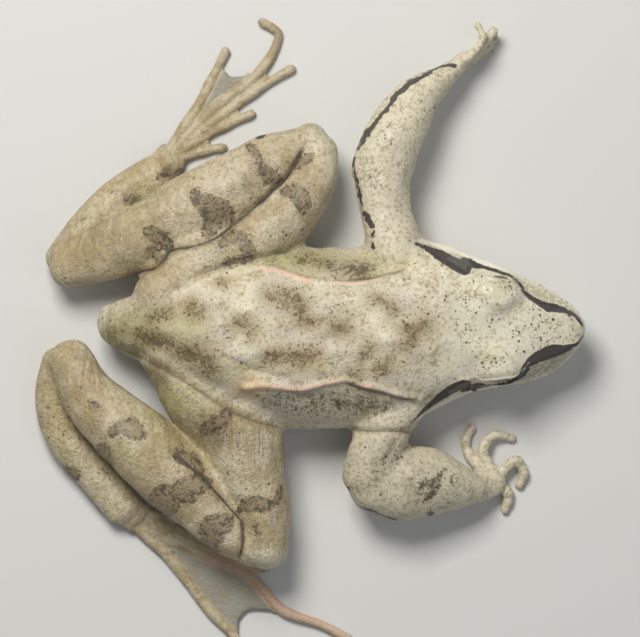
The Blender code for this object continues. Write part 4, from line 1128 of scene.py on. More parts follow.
tints = {
    # ovals of (pixel x, pixel y, half width, half height, strength)
    "olive": [(118, 330, 18, 26, 0.9), (330, 258, 40, 12, 0.7), (500, 286, 12, 7, 0.3),
        (168, 408, 40, 34, 0.9), (190, 328, 26, 22, 0.9), (150, 330, 30, 26, 0.9), (235, 374, 24, 12, 0.8),
        (312, 366, 26, 8, 0.6), (388, 365, 16, 7, 0.5), (285, 260, 60, 16, 0.9), (370, 262, 40, 12, 0.7),
        (60, 455, 20, 30, 0.5), (120, 450, 24, 20, 0.6), (150, 190, 30, 16, 0.5), (495, 295, 8, 7, 0.7),
        (520, 301, 7, 5, 0.6), (495, 356, 8, 7, 0.6), (200, 462, 26, 10, 0.8), (165, 425, 34, 34, 0.7),
        (206, 405, 26, 22, 0.4), (100, 228, 30, 30, 0.5), (155, 258, 24, 8, 0.5), (52, 400, 16, 30, 0.4)],
    "yellow": [(472, 289, 20, 13, 0.7), (487, 352, 18, 12, 0.7), (498, 284, 12, 8, 0.5),
        (545, 322, 30, 14, 0.3), (430, 222, 20, 20, 0.3), (128, 345, 24, 8, 0.7), (268, 545, 14, 16, 0.5),
        (470, 330, 30, 14, 0.25)],
    "ochre": [(140, 222, 30, 26, 0.9), (155, 162, 22, 14, 0.8), (205, 200, 12, 14, 0.7),
        (236, 323, 16, 8, 0.5), (86, 396, 30, 34, 1.0), (150, 460, 18, 12, 0.4), (262, 545, 14, 18, 0.5),
        (225, 425, 26, 20, 0.5), (84, 244, 40, 28, 0.8), (232, 204, 26, 20, 0.5), (200, 545, 20, 20, 0.3)],
    "lilac": [(300, 215, 20, 34, 0.8), (258, 160, 26, 16, 0.6), (226, 190, 20, 14, 0.6),
        (260, 455, 26, 26, 0.6), (219, 333, 12, 6, 1.0), (272, 311, 20, 7, 0.6), (322, 309, 24, 10, 0.6),
        (405, 285, 20, 10, 0.4), (450, 300, 20, 12, 0.35), (400, 480, 60, 40, 0.5),
        (225, 255, 20, 16, 0.6), (190, 480, 30, 16, 0.5), (222, 535, 14, 16, 0.8), (505, 327, 18, 16, 0.4),
        (430, 380, 20, 10, 0.7), (90, 400, 16, 20, 0.4)],
    # pale patches, and painted light: highlights on the back's raised lumps, and lightened places on the left
    # thigh and right knee that lie in shade
    "paleAndPaintedLight": [(298, 229, 11, 13, 0.7), (267, 557, 18, 16, 1.0), (275, 163, 8, 9, 0.5),
        (202, 287, 13, 6, 0.6), (251, 307, 13, 9, 0.4), (250, 351, 18, 12, 0.9), (323, 331, 9, 6, 0.5),
        (384, 337, 13, 9, 0.8), (333, 352, 14, 8, 0.4), (318, 145, 22, 24, 0.6), (500, 325, 14, 14, 0.4),
        (240, 490, 16, 12, 0.4), (420, 250, 16, 10, 0.5), (228, 462, 14, 8, 0.4), (470, 372, 20, 8, 0.5),
        (508, 366, 14, 8, 0.3)],
    "dotted": [(513, 291, 11, 8, 1.3), (497, 363, 14, 9, 1.3), (545, 328, 26, 22, 1.4),
        (488, 283, 18, 8, 0.6), (520, 322, 14, 20, 0.5), (422, 112, 20, 18, 0.3), (385, 145, 16, 16, 0.3),
        (380, 182, 16, 18, 0.25), (392, 205, 9, 10, 0.3), (278, 230, 26, 22, 0.5),
        (470, 320, 40, 60, 0.25), (395, 475, 60, 40, 0.2), (60, 430, 40, 40, 0.3), (240, 470, 40, 40, 0.2),
        (430, 310, 30, 50, 0.3), (225, 262, 24, 12, 0.5)],
    "streak": [(114, 332, 16, 28, 1.0), (352, 442, 14, 12, 0.5), (222, 425, 26, 26, 1.0),
        (262, 450, 26, 30, 0.7), (170, 420, 30, 34, 0.7), (90, 375, 34, 26, 0.7), (90, 238, 50, 34, 0.8),
        (150, 200, 40, 24, 0.5), (150, 372, 30, 26, 0.9), (365, 404, 26, 14, 1.0), (262, 545, 20, 20, 0.4)],
    "flecked": [(402, 104, 14, 14, 0.8), (388, 140, 12, 18, 1.0), (376, 176, 12, 16, 0.9),
        (372, 200, 8, 10, 0.5), (380, 470, 30, 14, 0.5), (362, 490, 24, 10, 0.7), (425, 485, 20, 18, 0.7),
        (455, 478, 12, 12, 0.4), (256, 200, 20, 24, 0.3), (316, 178, 16, 20, 0.3), (130, 560, 30, 20, 0.3)],
    # a dark olive stain on the rump and thighs, and painted shade on the lids, the right arm and the groove
    # under the right fold
    "oliveAndPaintedShade": [(116, 330, 16, 26, 0.8), (500, 283, 14, 8, 0.8), (488, 356, 14, 9, 0.3),
        (150, 375, 26, 22, 0.8), (190, 350, 38, 14, 1.0), (150, 342, 34, 16, 1.0), (245, 367, 26, 6, 0.7),
        (165, 308, 28, 14, 0.8), (130, 328, 34, 26, 1.0), (400, 480, 70, 50, 0.55),
        (245, 180, 18, 14, 0.5), (222, 318, 30, 20, 0.35), (120, 250, 40, 30, 0.4), (215, 250, 20, 8, 0.5),
        (290, 235, 24, 20, 0.3)],
}

paintLimits = {
    "rim": (5.0, 1.3, 0.6, 12),  # the pale edge round the body: height, spread, most slope and most x
    "underTilt": (0.1, 5.0),  # the belly's paint reaches further round below this height
    "lipX": 11, "webReach": 2.95, "creaseReach": 1.5, "far": 3.0,  # mm
}


def lineSide(points):
    # signed distance from the nearest crease, so that it passes evenly through zero, and the darkness of the
    # painted shade along that line
    side, least = np.full(len(points), paintLimits["far"]), np.full(len(points), paintLimits["far"])
    along = np.zeros(len(points))
    for name, strength in creaseShadowLines.items():
        stroke = drawn(lines[name])
        near = np.flatnonzero(strokeDistance(points, stroke) < paintLimits["creaseReach"])
        away = points[near, None, :2] - stroke[None, :, :2]
        distance = np.linalg.norm(away, axis=2)
        i = distance.argmin(axis=1)
        rows = np.arange(len(near))
        run = np.gradient(stroke[:, :2], axis=0)[i]
        turn = run[:, 0] * away[rows, i, 1] - run[:, 1] * away[rows, i, 0]
        distance = distance[rows, i]
        nearer = distance < least[near]
        chosen = near[nearer]
        least[chosen] = distance[nearer]
        side[chosen] = (distance * np.sign(turn))[nearer]
        ends = np.minimum(i, len(stroke) - 1 - i)[nearer]
        along[chosen] = strength * ramp("creaseEnd", ends) * (1 - ramp("creaseEdge", distance[nearer]))
    return side, along


def toeValues(points, z):
    # the toes, the webs, and the right foot's long toe, which is pink past two fifths of its length
    toes = [brush(np.column_stack([path[:, :2], np.full(len(path), 0.5)]))
            for word in ("left", "right") for path in toePaths(feet[word])]
    gap = leastStroke(points, toes)
    low = 1 - ramp("footZ", z)
    longToe = toes[8]
    pinkGap = strokeDistance(points, longToe[len(longToe) * 2 // 5:])
    return {
        "web": (1 - ramp("webZ", z)) * ramp("webEdge", gap) * (gap < paintLimits["webReach"]),
        "toe": low * (1 - ramp("toeEdge", gap)),
        "pinkToe": low * (1 - ramp("pinkEdge", pinkGap)),
    }


def paintSkin(mesh):
    points, _ = readMesh(mesh)
    slope = pointNormals(mesh)[:, 2]
    x, y, z = points.T
    spots = toHead(points)
    upper = ramp("markSlope", slope)
    onTrunk = 1 - ramp("paintOffTrunk", bodyField(points))
    # how far each point faces down, is off the trunk and is near the floor
    under, off, low = 1 - upper, 1 - onTrunk, 1 - ramp("markZ", z)
    strokes = {name: [drawn(rows) for rows in group] for name, group in marks.items()}
    gap = {name: leastStroke(points, group) for name, group in strokes.items()}
    # some mm are added to a mark's distance where it doesn't belong
    bands = np.minimum(gap["bands"] + 4 * low, gap["lowBands"] + 4 * ramp("lowBandZ", z))
    values = {
        "blotches": gap["blotches"] + 4 * under + 4 * off,
        "bands": bands + 4 * under,
        "dark": np.minimum(gap["dark"], gap["armLine"]) + 4 * under + 2 * low,
        "flank": gap["flank"] + 4 * off + 3 * (1 - ramp("flankMarkZ", z)),
    }
    for name in ("pink", "peach", "creamFold"):
        values[name] = gap[name] + 3 * low
    # each point's twin on the head's other side reads the left side's marks
    twins = fromHead(spots * (1, -1, 1))
    for name in ("mask", "lip", "cheek"):
        gap[name] = np.minimum(gap[name], leastStroke(twins, strokes[name][:2]))
    inMouth = 1 - ramp("aboveMouth", spots[:, 2] - hermite(*np.array(head["mouth"]).T, x))
    onLid = (1 - ramp("eyeSkin", eyeDistance(points))) * (1 - ramp("lidSlope", slope))
    values["mask"] = np.minimum(gap["mask"], gap["maskRight"]) + 4 * inMouth + 2 * onLid
    values["lip"] = gap["lip"] + 3 * (x < paintLimits["lipX"])
    values["cheek"] = np.minimum(gap["cheek"], gap["cheekRight"]) + 3 * inMouth
    values["mouth"] = leastStroke(points, [headStrokes(hand)["mouthLine"] for hand in (1, -1)])
    for name, *places in zip(("nostril", "ear"), headSpots(1), headSpots(-1)):
        values[name] = np.min(np.linalg.norm(points[:, None] - places, axis=2), axis=1)
    # how strongly painted shade darkens each crease
    values["crease"], creased = lineSide(points)
    values["creased"] = creased * ramp("creaseZ", z)
    tilt, middle = paintLimits["underTilt"]
    below = 1 - ramp("underSlope", slope + tilt * (z - middle) / middle)
    values["belly"] = np.maximum(below, onTrunk * (1 - ramp("bellyZ", z)))
    rimZ, rimSpread, rimSlope, rimX = paintLimits["rim"]
    values["rim"] = onTrunk * bell(z - rimZ, rimSpread) * (slope < rimSlope) * (x < rimX)
    fore = ramp("foreX", x)
    values["leg"], values["arm"] = off * (1 - fore), off * fore
    values["head"] = ramp("headX", x) * (np.abs(y - skinMesh["headMiddle"]) < head["half"])
    for name, rows in tints.items():
        values[name] = ovals(points, rows) * upper
    values.update(toeValues(points, z))
    for name, value in values.items():
        layer = mesh.attributes.new(name, "FLOAT", "POINT")
        layer.data.foreach_set("value", np.asarray(value, np.float32))
    print("painted", len(values))
    return list(values)


# Shader helpers: small functions that add one node each

class Paint:
    def __init__(self, tree):
        self.tree = tree
        self.tinted = None

    def node(self, kind, **settings):
        made = self.tree.nodes.new(kind)
        for key, value in settings.items():
            setattr(made, key, value)
        return made

    def plug(self, socket, value):
        if isinstance(value, bpy.types.NodeSocket):
            self.tree.links.new(value, socket)
        elif isinstance(value, (tuple, list)) and socket.type == "RGBA":
            socket.default_value = (*value, 1.0)
        else:
            socket.default_value = value

    def feed(self, made, values):
        # plugs each value into the node's input of that name or place
        for key, value in values.items():
            self.plug(made.inputs[key], value)
        return made

    def objectPlace(self):
        return self.node("ShaderNodeTexCoord").outputs["Object"]

    def attribute(self, name):
        return self.node("ShaderNodeAttribute", attribute_name=name).outputs["Fac"]

    def maths(self, operation, a, b=0.5, c=0.5, clamp=False):
        made = self.node("ShaderNodeMath", operation=operation, use_clamp=clamp)
        return self.feed(made, {0: a, 1: b, 2: c}).outputs[0]

    def total(self, *pairs):
        # the sum of value·weight over pairs
        out = 0.0
        for value, weight in pairs:
            out = self.maths("MULTIPLY_ADD", value, weight, out)
        return out

    def product(self, first, *rest):
        for value in rest:
            first = self.maths("MULTIPLY", first, value)
        return first

    def mix(self, factor, a, b, blend="MIX"):
        made = self.node("ShaderNodeMix", data_type="RGBA", blend_type=blend)
        return self.feed(made, {"Factor": factor, "A": a, "B": b}).outputs["Result"]

    def step(self, value, low, high, start=0.0, end=1.0):
        # from start to end, smoothly, as the value goes from low to high
        made = self.node("ShaderNodeMapRange", interpolation_type="SMOOTHSTEP", clamp=True)
        limits = {"From Min": low, "From Max": high, "To Min": start, "To Max": end}
        return self.feed(made, {"Value": value, **limits}).outputs["Result"]

    def vectors(self, operation, a, b):
        made = self.node("ShaderNodeVectorMath", operation=operation)
        return self.feed(made, {0: a, 1: b}).outputs[0]

    def grain(self, place, size, detail=2.0, rough=0.55, warp=0.0):
        values = {"Vector": place, "Scale": self.perMetre(size), "Detail": detail, "Roughness": rough}
        return self.feed(self.node("ShaderNodeTexNoise"), {**values, "Distortion": warp}).outputs["Fac"]

    def cells(self, place, size):
        made = self.node("ShaderNodeTexVoronoi", feature="F1")
        return self.feed(made, {"Vector": place, "Scale": self.perMetre(size)})

    def perMetre(self, size):
        # a texture's scale from a size in mm
        return self.maths("DIVIDE", 1 / mm, size) if isinstance(size, bpy.types.NodeSocket) else 1 / mm / size

    def placed(self, group, **values):
        return self.feed(self.node("ShaderNodeGroup", node_tree=group), values).outputs[0]

    def wash(self, mask, colour, strength=1.0, blend="MIX"):
        # lays a colour over what is there already
        factor = self.maths("MULTIPLY", mask, strength, clamp=True)
        self.tinted = self.mix(factor, self.tinted, colour, blend)

    def stain(self, mask, colour, strength=1.0):
        # multiplies what is there already by a colour
        self.wash(mask, colour, strength, "MULTIPLY")


def newGroup(name, inputs):
    # a group of one mask from named values
    tree = bpy.data.node_groups.new(name, "ShaderNodeTree")
    for label, value in inputs.items():
        socket = tree.interface.new_socket(label, in_out="INPUT", socket_type="NodeSocketFloat")
        socket.default_value = value
    tree.interface.new_socket("Mask", in_out="OUTPUT", socket_type="NodeSocketFloat")
    paint = Paint(tree)
    return paint, paint.node("NodeGroupInput").outputs, paint.node("NodeGroupOutput").inputs[0]


def raggedGroup():
    # 1 inside a mark's edge, which broad and fine noise move in and out by up to about Reach mm
    paint, given, result = newGroup(
        "ragged edge", {"Distance": 0.0, "Broad": 0.5, "Fine": 0.5, "Reach": 0.5, "Soft": 0.15})
    off = paint.total((given["Broad"], 2.0), (given["Fine"], 2.2), (1.0, -2.1))
    moved = paint.maths("MULTIPLY_ADD", off, given["Reach"], given["Distance"])
    paint.plug(result, paint.step(moved, given["Soft"], paint.maths("MULTIPLY", given["Soft"], -1.0)))
    return paint.tree


def stippleGroup():
    # round dots, one to a cell, more and larger where the density is higher
    paint, given, result = newGroup("stipple", {"Size": 0.5, "Density": 0.5, "Dot": 0.3, "Seed": 0.0})
    cells = paint.cells(paint.vectors("ADD", paint.objectPlace(), given["Seed"]), given["Size"])
    pick = paint.node("ShaderNodeSeparateColor")
    paint.plug(pick.inputs[0], cells.outputs["Color"])
    chosen = paint.step(paint.maths("SUBTRACT", given["Density"], pick.outputs[0]), 0.0, 0.04)
    radius = paint.product(paint.maths("MULTIPLY_ADD", pick.outputs[1], 0.7, 0.5), given["Dot"])
    inner = paint.maths("MULTIPLY", radius, 0.6)
    paint.plug(result, paint.maths("MULTIPLY", chosen, paint.step(cells.outputs["Distance"], radius, inner)))
    return paint.tree


def speckGroup():
    # uneven specks where fine noise passes a height that falls as the density rises
    paint, given, result = newGroup("specks", {"Size": 0.4, "Density": 0.3})
    fine = paint.grain(paint.objectPlace(), given["Size"], 3.0, 0.7)
    level = paint.maths("MULTIPLY_ADD", given["Density"], -0.24, 0.70)
    paint.plug(result, paint.step(paint.maths("SUBTRACT", fine, level), 0.0, 0.035))
    return paint.tree


def newMaterial(name, uniform):
    # a material with its even values set, and what it takes to paint it
    made = bpy.data.materials.new(name)
    made.use_nodes = True
    shader = made.node_tree.nodes["Principled BSDF"]
    for label, value in uniform.items():
        shader.inputs[label].default_value = value
    return made, Paint(made.node_tree), shader


skinPaint = {
    "cream": (0.69, 0.625, 0.47), "warm": (0.55, 0.47, 0.31), "pale": (0.77, 0.735, 0.60),
    "belly": (0.80, 0.76, 0.64), "lilac": (0.57, 0.51, 0.46), "olive": (0.40, 0.39, 0.155),
    "yellow": (0.58, 0.55, 0.31), "ochre": (0.44, 0.32, 0.14),
    "leg": (0.54, 0.47, 0.335), "arm": (0.62, 0.565, 0.43),
    "dust": (0.44, 0.375, 0.25), "dot": (0.065, 0.055, 0.042),
    "speck": (0.12, 0.095, 0.055), "armSpeck": (0.30, 0.265, 0.19), "bandSpeck": (0.085, 0.068, 0.048),
    "flank": (0.24, 0.215, 0.15), "flankPale": (0.64, 0.59, 0.46), "band": (0.255, 0.195, 0.115),
    "mask": (0.050, 0.043, 0.038), "ear": (0.105, 0.095, 0.088), "rust": (0.33, 0.17, 0.10),
    "pink": (0.74, 0.47, 0.36), "creamFold": (0.74, 0.57, 0.43), "peach": (0.55, 0.36, 0.20),
    # crease: the painted shade along creases, also the mouth line's dark
    "cheek": (0.36, 0.35, 0.24), "crease": (0.10, 0.08, 0.06),
    "web": (0.31, 0.305, 0.26), "toe": (0.47, 0.40, 0.27), "pinkToe": (0.56, 0.38, 0.28),
    "bump": 0.11 * mm,
    "even": {"Specular IOR Level": 0.42, "Coat Weight": 0.10, "Coat Roughness": 0.25},
    # how strongly each colour is laid on
    "strengths": {
        "leg": 0.9, "warm": 0.75, "arm": 0.8, "head": 0.6, "lilac": 0.8, "ochre": 0.75, "olive": 0.85,
        "yellow": 0.65, "paleAndPaintedLight": 0.75, "rim": 0.6, "belly": 0.9, "flank": 1.0, "band": 0.95, "streak": 0.85,
        "dust": 0.5, "peach": 0.7, "creamFold": 0.8, "pink": 0.8, "crease": 0.95, "toe": 0.7, "pinkToe": 0.7,
        "web": 1.0, "cheek": 0.8, "lip": 0.9, "rust": 0.6, "mask": 1.0, "dark": 0.95, "mouth": 0.85,
        "nostril": 1.0,
    },
    # colours that multiply what is there, each with its strength
    "stains": {
        # the dark olive stain is partly painted shade
        "oliveAndPaintedShade": ((0.46, 0.43, 0.30), 0.9), "legShade": ((0.80, 0.73, 0.58), 0.9),
        "vein": ((0.72, 0.66, 0.53), 0.6), "fleck": ((0.80, 0.77, 0.70), 0.9),
        "blotchRim": ((0.64, 0.57, 0.43), 0.75), "blotch": ((0.54, 0.47, 0.33), 1.0),
        # the crease stain is painted shade beside each crease
        "crease": ((0.6, 0.55, 0.48), 0.7), "toe": ((0.68, 0.60, 0.46), 0.6),
    },
    # noise: size in mm, detail, roughness, warp
    "grains": {
        "broad": (6.0, 2.0), "cloud": (2.0, 3.0, 0.6), "fine": (0.5, 3.0, 0.65), "vein": (1.2, 4.0, 0.7, 1.0),
        "grit": (0.34, 2.0, 0.65, 0.6), "pore": (0.25, 2.0, 0.65), "streak": (0.55, 3.0, 0.6, 0.3),
    },
    # a noise or a distance from one value to another, and what it turns into where that isn't 0 to 1
    "levels": {
        "ground": (0.36, 0.64, 0.0, 0.6), "warm": (0.42, 0.66), "mottle": (0.30, 0.62, 0.55, 1.0),
        "legShade": (0.42, 0.60), "vein": (0.47, 0.58), "grit": (0.43, 0.57),
        "uneven": (0.35, 0.62, 0.60, 1.0), "worn": (0.38, 0.60, 1.0, 0.75), "streak": (0.46, 0.57),
        "speckCloud": (0.45, 0.68), "dustCloud": (0.40, 0.62), "fleck": (0.42, 0.68),
        "creaseLine": (0.27, 0.08), "creaseShade": (0.8, 0.0), "toe": (0.46, 0.58),
        "web": (0.3, 0.75, 0.1, 0.5), "cheek": (0.50, 0.60), "drum": (1.5, 1.2),
        "rimOut": (2.0, 1.75), "rimIn": (1.45, 1.6), "rust": (0.5, 0.6),
        "mouth": (0.24, 0.08), "nostril": (0.36, 0.2), "sheen": (0.3, 0.7, 0.39, 0.59),
    },
    # how far noise moves each mark's edge and how soft the edge is, mm
    "edges": {
        "blotches": (1.5, 1.2), "blotchRim": (2.6, 2.2), "flank": (1.3, 1.1), "bands": (0.5, 0.16),
        "bandCore": (0.5, 0.4), "bandEdge": (0.5, 0.5), "peach": (0.8, 0.9), "creamFold": (0.10, 0.18),
        "pink": (0.10, 0.16), "cheek": (0.15, 0.3), "lip": (0.08, 0.12), "mask": (0.14, 0.07),
        "dark": (0.16, 0.07),
    },
    "bandRim": (0.5, 0.35),  # how far a band's darker rim reaches inward and outward, mm
    "streakStretch": (1.0, 0.10, 0.25), "wrinkle": 2.4, "creaseWander": 0.6,
    # pale beads along the dark arm line: size in mm, what narrows the line and what each bead takes away
    "beads": (0.8, 0.18, -0.45),
    "dustSize": 0.5,
    "specks": [(0.62, 0.8), (0.34, 0.6)],  # size in mm, strength
    # cell in mm, dot's part of it, seed, strength
    "dots": {"dense": (0.42, 0.36, 0.0, 0.85), "sparse": (0.66, 0.32, 0.31, 0.9)},
    # what each place and mark adds to the specks, their paleness, the dust, the dots and the bump
    "shares": {
        "specks": {
            "blotch": 0.62, "flankMark": 0.50, "edge": 0.22, "band": 0.34, "dotted": 0.16, "leg": 0.03,
            "speckCloud": 0.30, "dry": 0.14, "flecked": 0.5, "oliveAndPaintedShade": 0.25, "paleAndPaintedLight": -0.35,
        },
        "paleSpecks": {"arm": 0.85, "leg": 0.40},
        "dust": {"dry": 0.42, "dustCloud": 0.35, "head": -0.25},
        "dense": {"dotted": 0.60, "head": 0.08, "density": 0.12},
        "sparse": {"dotted": 0.9, "density": 0.08},
        "height": {"pore": 0.5, "fine": 0.9, "wrinkled": 1.0},
        "rough": {"head": -0.5, "leg": 0.5, "whole": 1.0},
    },
}


def skinMaterial(layers):
    made, paint, shader = newMaterial("moistSkin", skinPaint["even"])
    ragged, stipple, specks = raggedGroup(), stippleGroup(), speckGroup()
    place = paint.objectPlace()
    col = skinPaint
    at = {name: paint.attribute(name) for name in layers}
    along = paint.vectors("MULTIPLY", place, col["streakStretch"])
    grain = {name: paint.grain(along if name == "streak" else place, *values)
             for name, values in col["grains"].items()}
    broad, cloud, fine = (grain[name] for name in ("broad", "cloud", "fine"))

    def level(value, name):
        return paint.step(value, *col["levels"][name])

    def wash(mask, name, colour=None):
        paint.wash(mask, col[name] if colour is None else colour, col["strengths"][name])

    def stain(mask, name):
        paint.stain(mask, *col["stains"][name])

    def shared(name):
        return paint.total(*((at[key], part) for key, part in col["shares"][name].items()))

    def edged(distance, name):
        reach, soft = col["edges"][name]
        return paint.placed(ragged, Distance=distance, Broad=cloud, Fine=fine, Reach=reach, Soft=soft)

    # ground colour
    paint.tinted = paint.mix(level(broad, "ground"), col["cream"], col["lilac"])
    wash(at["leg"], "leg")
    wash(level(cloud, "warm"), "warm")
    wash(at["arm"], "arm")
    wash(at["head"], "head", col["pale"])
    mottle = level(cloud, "mottle")
    for name in ("lilac", "ochre", "olive", "yellow"):
        wash(paint.product(at[name], mottle), name)
    # dark olive stain, in places painted shade on the lids, the right arm and the groove under the fold
    stain(paint.product(at["oliveAndPaintedShade"], mottle), "oliveAndPaintedShade")
    stain(paint.product(at["leg"], level(broad, "legShade"), mottle), "legShade")
    stain(paint.product(at["leg"], level(grain["vein"], "vein")), "vein")
    # pale patches, with painted highlights and painted light over shaded places
    wash(at["paleAndPaintedLight"], "paleAndPaintedLight", col["pale"])
    wash(at["rim"], "rim", col["pale"])
    wash(at["belly"], "belly")
    dry = at["dry"] = paint.maths("SUBTRACT", 1.0, at["belly"], clamp=True)
    # marks: soft blotches, grained flanks, bands with a darker edge, and streaks
    blotch = at["blotch"] = edged(at["blotches"], "blotches")
    stain(edged(at["blotches"], "blotchRim"), "blotchRim")
    stain(blotch, "blotch")
    flank = at["flankMark"] = edged(at["flank"], "flank")
    twoTone = paint.mix(level(grain["grit"], "grit"), col["flank"], col["flankPale"])
    wash(paint.product(flank, level(cloud, "uneven")), "flank", twoTone)
    band = at["band"] = edged(at["bands"], "bands")
    inward, outward = col["bandRim"]
    core = edged(paint.maths("ADD", at["bands"], inward), "bandCore")
    around = edged(paint.maths("SUBTRACT", at["bands"], outward), "bandEdge")
    edge = at["edge"] = paint.maths("SUBTRACT", around, core, clamp=True)
    wash(paint.product(band, level(fine, "worn")), "band")
    wash(paint.product(at["streak"], level(grain["streak"], "streak")), "streak", col["band"])
    # specks and dots, none on the belly
    at["speckCloud"], at["dustCloud"] = level(cloud, "speckCloud"), level(cloud, "dustCloud")
    density = at["density"] = paint.product(shared("specks"), dry)
    speckColour = paint.mix(shared("paleSpecks"), col["speck"], col["armSpeck"])
    speckColour = paint.mix(paint.maths("MAXIMUM", edge, band), speckColour, col["bandSpeck"])
    dusty = paint.placed(specks, Size=col["dustSize"], Density=shared("dust"))
    wash(paint.product(dusty, dry), "dust")
    for size, strength in col["specks"]:
        paint.wash(paint.placed(specks, Size=size, Density=density), speckColour, strength)
    for name, (size, dot, seed, strength) in col["dots"].items():
        share = paint.product(shared(name), dry)
        mask = paint.placed(stipple, Size=size, Density=share, Dot=dot, Seed=seed)
        paint.wash(mask, col["dot"], strength)
    stain(level(fine, "fleck"), "fleck")
    # folds, and painted shade along the creases
    for name in ("peach", "creamFold", "pink"):
        wash(edged(at[name], name), name)
    # a dark line of painted shade down each crease, and a broader painted shade beside it
    offLine = paint.maths("ABSOLUTE", at["crease"])
    wander = paint.total((paint.maths("SUBTRACT", cloud, 0.5), col["creaseWander"]))
    moved = paint.maths("ADD", offLine, wander)
    wash(paint.product(at["creased"], level(moved, "creaseLine")), "crease")
    stain(paint.product(at["creased"], level(offLine, "creaseShade")), "crease")
    # feet
    wash(at["toe"], "toe")
    stain(paint.product(at["toe"], level(cloud, "toe")), "toe")
    wash(at["pinkToe"], "pinkToe")
    wash(at["web"], "web", paint.mix(level(cloud, "web"), col["web"], col["band"]))
    # head
    wash(edged(at["cheek"], "cheek"), "cheek", paint.mix(level(fine, "cheek"), col["cheek"], col["cream"]))
    wash(edged(at["lip"], "lip"), "lip", col["belly"])
    maskColour = paint.mix(level(at["ear"], "drum"), col["mask"], col["ear"])
    rim = paint.product(level(at["ear"], "rimOut"), level(at["ear"], "rimIn"), level(fine, "rust"))
    maskColour = paint.mix(paint.maths("MULTIPLY", rim, col["strengths"]["rust"]), maskColour, col["rust"])
    # the dark mask and ear drums, with painted shade under each lid's edge
    wash(edged(at["mask"], "mask"), "mask", maskColour)
    size, less, more = col["beads"]
    beads = paint.cells(place, size).outputs["Distance"]
    beaded = paint.maths("ADD", at["dark"], paint.total((less, 1.0), (beads, more)))
    wash(edged(beaded, "dark"), "dark", col["mask"])
    wash(level(at["mouth"], "mouth"), "mouth", col["crease"])
    wash(level(at["nostril"], "nostril"), "nostril", col["mask"])
    # bump: pores and fine wrinkles, smoother on the head and stronger on the legs
    at.update(pore=grain["pore"], fine=fine, whole=1.0)
    at["wrinkled"] = paint.product(at["streak"], grain["streak"], col["wrinkle"])
    height = paint.product(shared("height"), shared("rough"))
    bump = paint.node("ShaderNodeBump")
    paint.feed(bump, {"Strength": 1.0, "Distance": col["bump"], "Height": height})
    sheen = level(cloud, "sheen")
    paint.feed(shader, {"Base Color": paint.tinted, "Roughness": sheen, "Normal": bump.outputs["Normal"]})
    return made


# Eyes

eyePaint = {
    "gold": (0.62, 0.40, 0.10), "copper": (0.26, 0.12, 0.035), "dark": (0.012, 0.009, 0.006),
    "pupil": (0.40, 0.27), "iris": (0.70, 0.80),  # half sizes, and where the iris fades out
    "veins": (0.35, 4.0, 0.7, 0.6), "veinLevel": (0.42, 0.58),
    "copperUp": (-0.30, 0.25),  # copper below turns gold above
    # a gold ring round the pupil, and the pupil's own edge, in its half sizes
    "ring": (1.22, 1.08), "ringStrength": 0.8, "pupilEdge": (1.06, 0.98),
    "even": {"Roughness": 0.06, "Coat Weight": 1.0, "Coat Roughness": 0.02},
}


def eyeGrid(hand):
    # a ball about its gaze: radius R + h·exp(-(a/w)²), a from the pupil's middle
    ahead, right, up = gazeAxes(hand)
    bulge, spread = head["cornea"]
    local, a = ballGrid(*head["ballGrid"])
    radius = head["eyeRadius"] + bulge * bell(a, spread)
    grid = (local * radius[:, :, None]) @ np.array([right, up, ahead]) + eyeCentre(hand)
    first = eyeCentre(hand) + ahead * (head["eyeRadius"] + bulge)
    last = eyeCentre(hand) - ahead * head["eyeRadius"]
    return grid, first, last, np.concatenate([local.reshape(-1, 3), [(0, 0, 1), (0, 0, -1)]])


def eyeMaterial():
    made, paint, shader = newMaterial("wetEye", eyePaint["even"])
    gold, copper, dark = (eyePaint[name] for name in ("gold", "copper", "dark"))
    split = paint.node("ShaderNodeSeparateXYZ")
    paint.plug(split.inputs[0], paint.node("ShaderNodeAttribute", attribute_name="look").outputs["Vector"])
    x, y = split.outputs[0], split.outputs[1]

    def ellipse(wide, tall):
        # √((x/a)²+(y/b)²)
        parts = [paint.maths("POWER", paint.maths("DIVIDE", *pair), 2.0) for pair in ((x, wide), (y, tall))]
        return paint.maths("SQRT", paint.maths("ADD", *parts))

    oval, out = ellipse(*eyePaint["pupil"]), ellipse(1.0, 1.0)
    veins = paint.grain(paint.objectPlace(), *eyePaint["veins"])
    iris = paint.mix(paint.step(y, *eyePaint["copperUp"]), copper, gold)
    iris = paint.mix(paint.step(veins, *eyePaint["veinLevel"]), iris, dark)
    ring = paint.maths("MULTIPLY", paint.step(oval, *eyePaint["ring"]), eyePaint["ringStrength"])
    iris = paint.mix(ring, iris, gold)
    iris = paint.mix(paint.step(out, *eyePaint["iris"]), iris, dark)
    paint.plug(shader.inputs["Base Color"], paint.mix(paint.step(oval, *eyePaint["pupilEdge"]), iris, dark))
    return made


def finished(name, mesh, material, nodes):
    for face in mesh.polygons:
        face.use_smooth = True
    mesh.materials.append(material)
    piece = bpy.data.objects.new(name, mesh)
    bpy.context.scene.collection.objects.link(piece)
    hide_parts(*nodes)
    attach(piece, "root")
    return piece


def toWorld(points):
    # plan millimetres to metres, kept within the solids' own box and above the floor
    return np.clip((points + centreShift) * mm, np.array(cadLow), np.array(cadHigh))


def makeSkin():
    mesh = buildSkin()
    layers = paintSkin(mesh)
    points, _ = readMesh(mesh)
    placeMesh(mesh, toWorld(points))
    mesh.name = "frogSkin"
    nodes = [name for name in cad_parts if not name.startswith("eye")]
    finished("frogSkin", mesh, skinMaterial(layers), nodes)
    print("skin", len(mesh.polygons))


def fixNormals(mesh):
    editMesh(mesh, lambda made: bmesh.ops.recalc_face_normals(made, faces=made.faces))


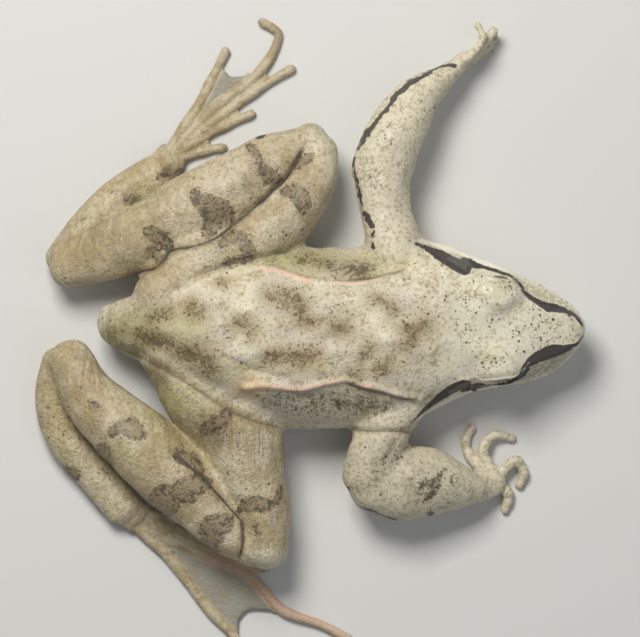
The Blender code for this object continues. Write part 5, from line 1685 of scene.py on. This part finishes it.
def makeEyes():
    material = eyeMaterial()
    for word, hand in (("left", 1), ("right", -1)):
        grid, first, last, look = eyeGrid(hand)
        points, faces = closedGrid(grid, first, last)
        mesh = makeMesh("eyeball_" + word, (points + centreShift) * mm, faces)
        layer = mesh.attributes.new("look", "FLOAT_VECTOR", "POINT")
        layer.data.foreach_set("vector", look.astype(np.float32).ravel())
        fixNormals(mesh)
        finished("eyeball_" + word, mesh, material, ["eye_" + word])
    print("eyes")


# Studio: camera over the back, soft light from the frog's left, pale floor

studio = {
    "cameraHeight": 1.2, "focusHeight": 0.008, "frameWidth": 0.07968, "farthest": 10.0,
    "frameCentre": (1.25 * mm, 2.23 * mm),
    "key": {"place": (-0.09, 0.20, 0.32), "size": 0.15, "power": 1.5, "colour": (1.0, 0.98, 0.93)},
    "fill": {"place": (0.22, -0.16, 0.36), "size": 0.40, "power": 0.3, "colour": (0.92, 0.96, 1.0)},
    "sky": (0.62, 0.64, 0.66), "skyStrength": 0.29,
    "floor": (0.62, 0.615, 0.60), "floorRoughness": 0.8, "floorSize": 1.2,
}


def makeLight(name, values):
    light = bpy.data.lights.new(name, "AREA")
    light.size = values["size"]
    light.energy = values["power"]
    light.color = values["colour"]
    lamp = bpy.data.objects.new(name, light)
    lamp.location = values["place"]
    lamp.rotation_euler = (-Vector(values["place"])).to_track_quat("-Z", "Y").to_euler()
    bpy.context.scene.collection.objects.link(lamp)


def makeStudio():
    scene = bpy.context.scene
    lens = bpy.data.cameras.new("camera")
    rise = studio["cameraHeight"] - studio["focusHeight"]
    lens.lens = lens.sensor_width * rise / studio["frameWidth"]
    lens.clip_end = studio["farthest"]
    camera = bpy.data.objects.new("camera", lens)
    camera.location = (*studio["frameCentre"], studio["cameraHeight"])
    scene.collection.objects.link(camera)
    scene.camera = camera
    for name in ("key", "fill"):
        makeLight(name, studio[name])
    world = bpy.data.worlds.new("studio")
    world.use_nodes = True
    sky = world.node_tree.nodes["Background"]
    sky.inputs["Color"].default_value = (*studio["sky"], 1.0)
    sky.inputs["Strength"].default_value = studio["skyStrength"]
    scene.world = world
    scene.view_settings.view_transform = "Standard"
    half = studio["floorSize"] / 2
    corners = [(-half, -half, 0), (half, -half, 0), (half, half, 0), (-half, half, 0)]
    mesh = makeMesh("floor", corners, [(0, 1, 2, 3)])
    values = {"Base Color": (*studio["floor"], 1.0), "Roughness": studio["floorRoughness"]}
    mesh.materials.append(newMaterial("paleFloor", values)[0])
    floor = bpy.data.objects.new("floor", mesh)
    scene.collection.objects.link(floor)
    print("studio")


makeStudio()
makeSkin()
makeEyes()
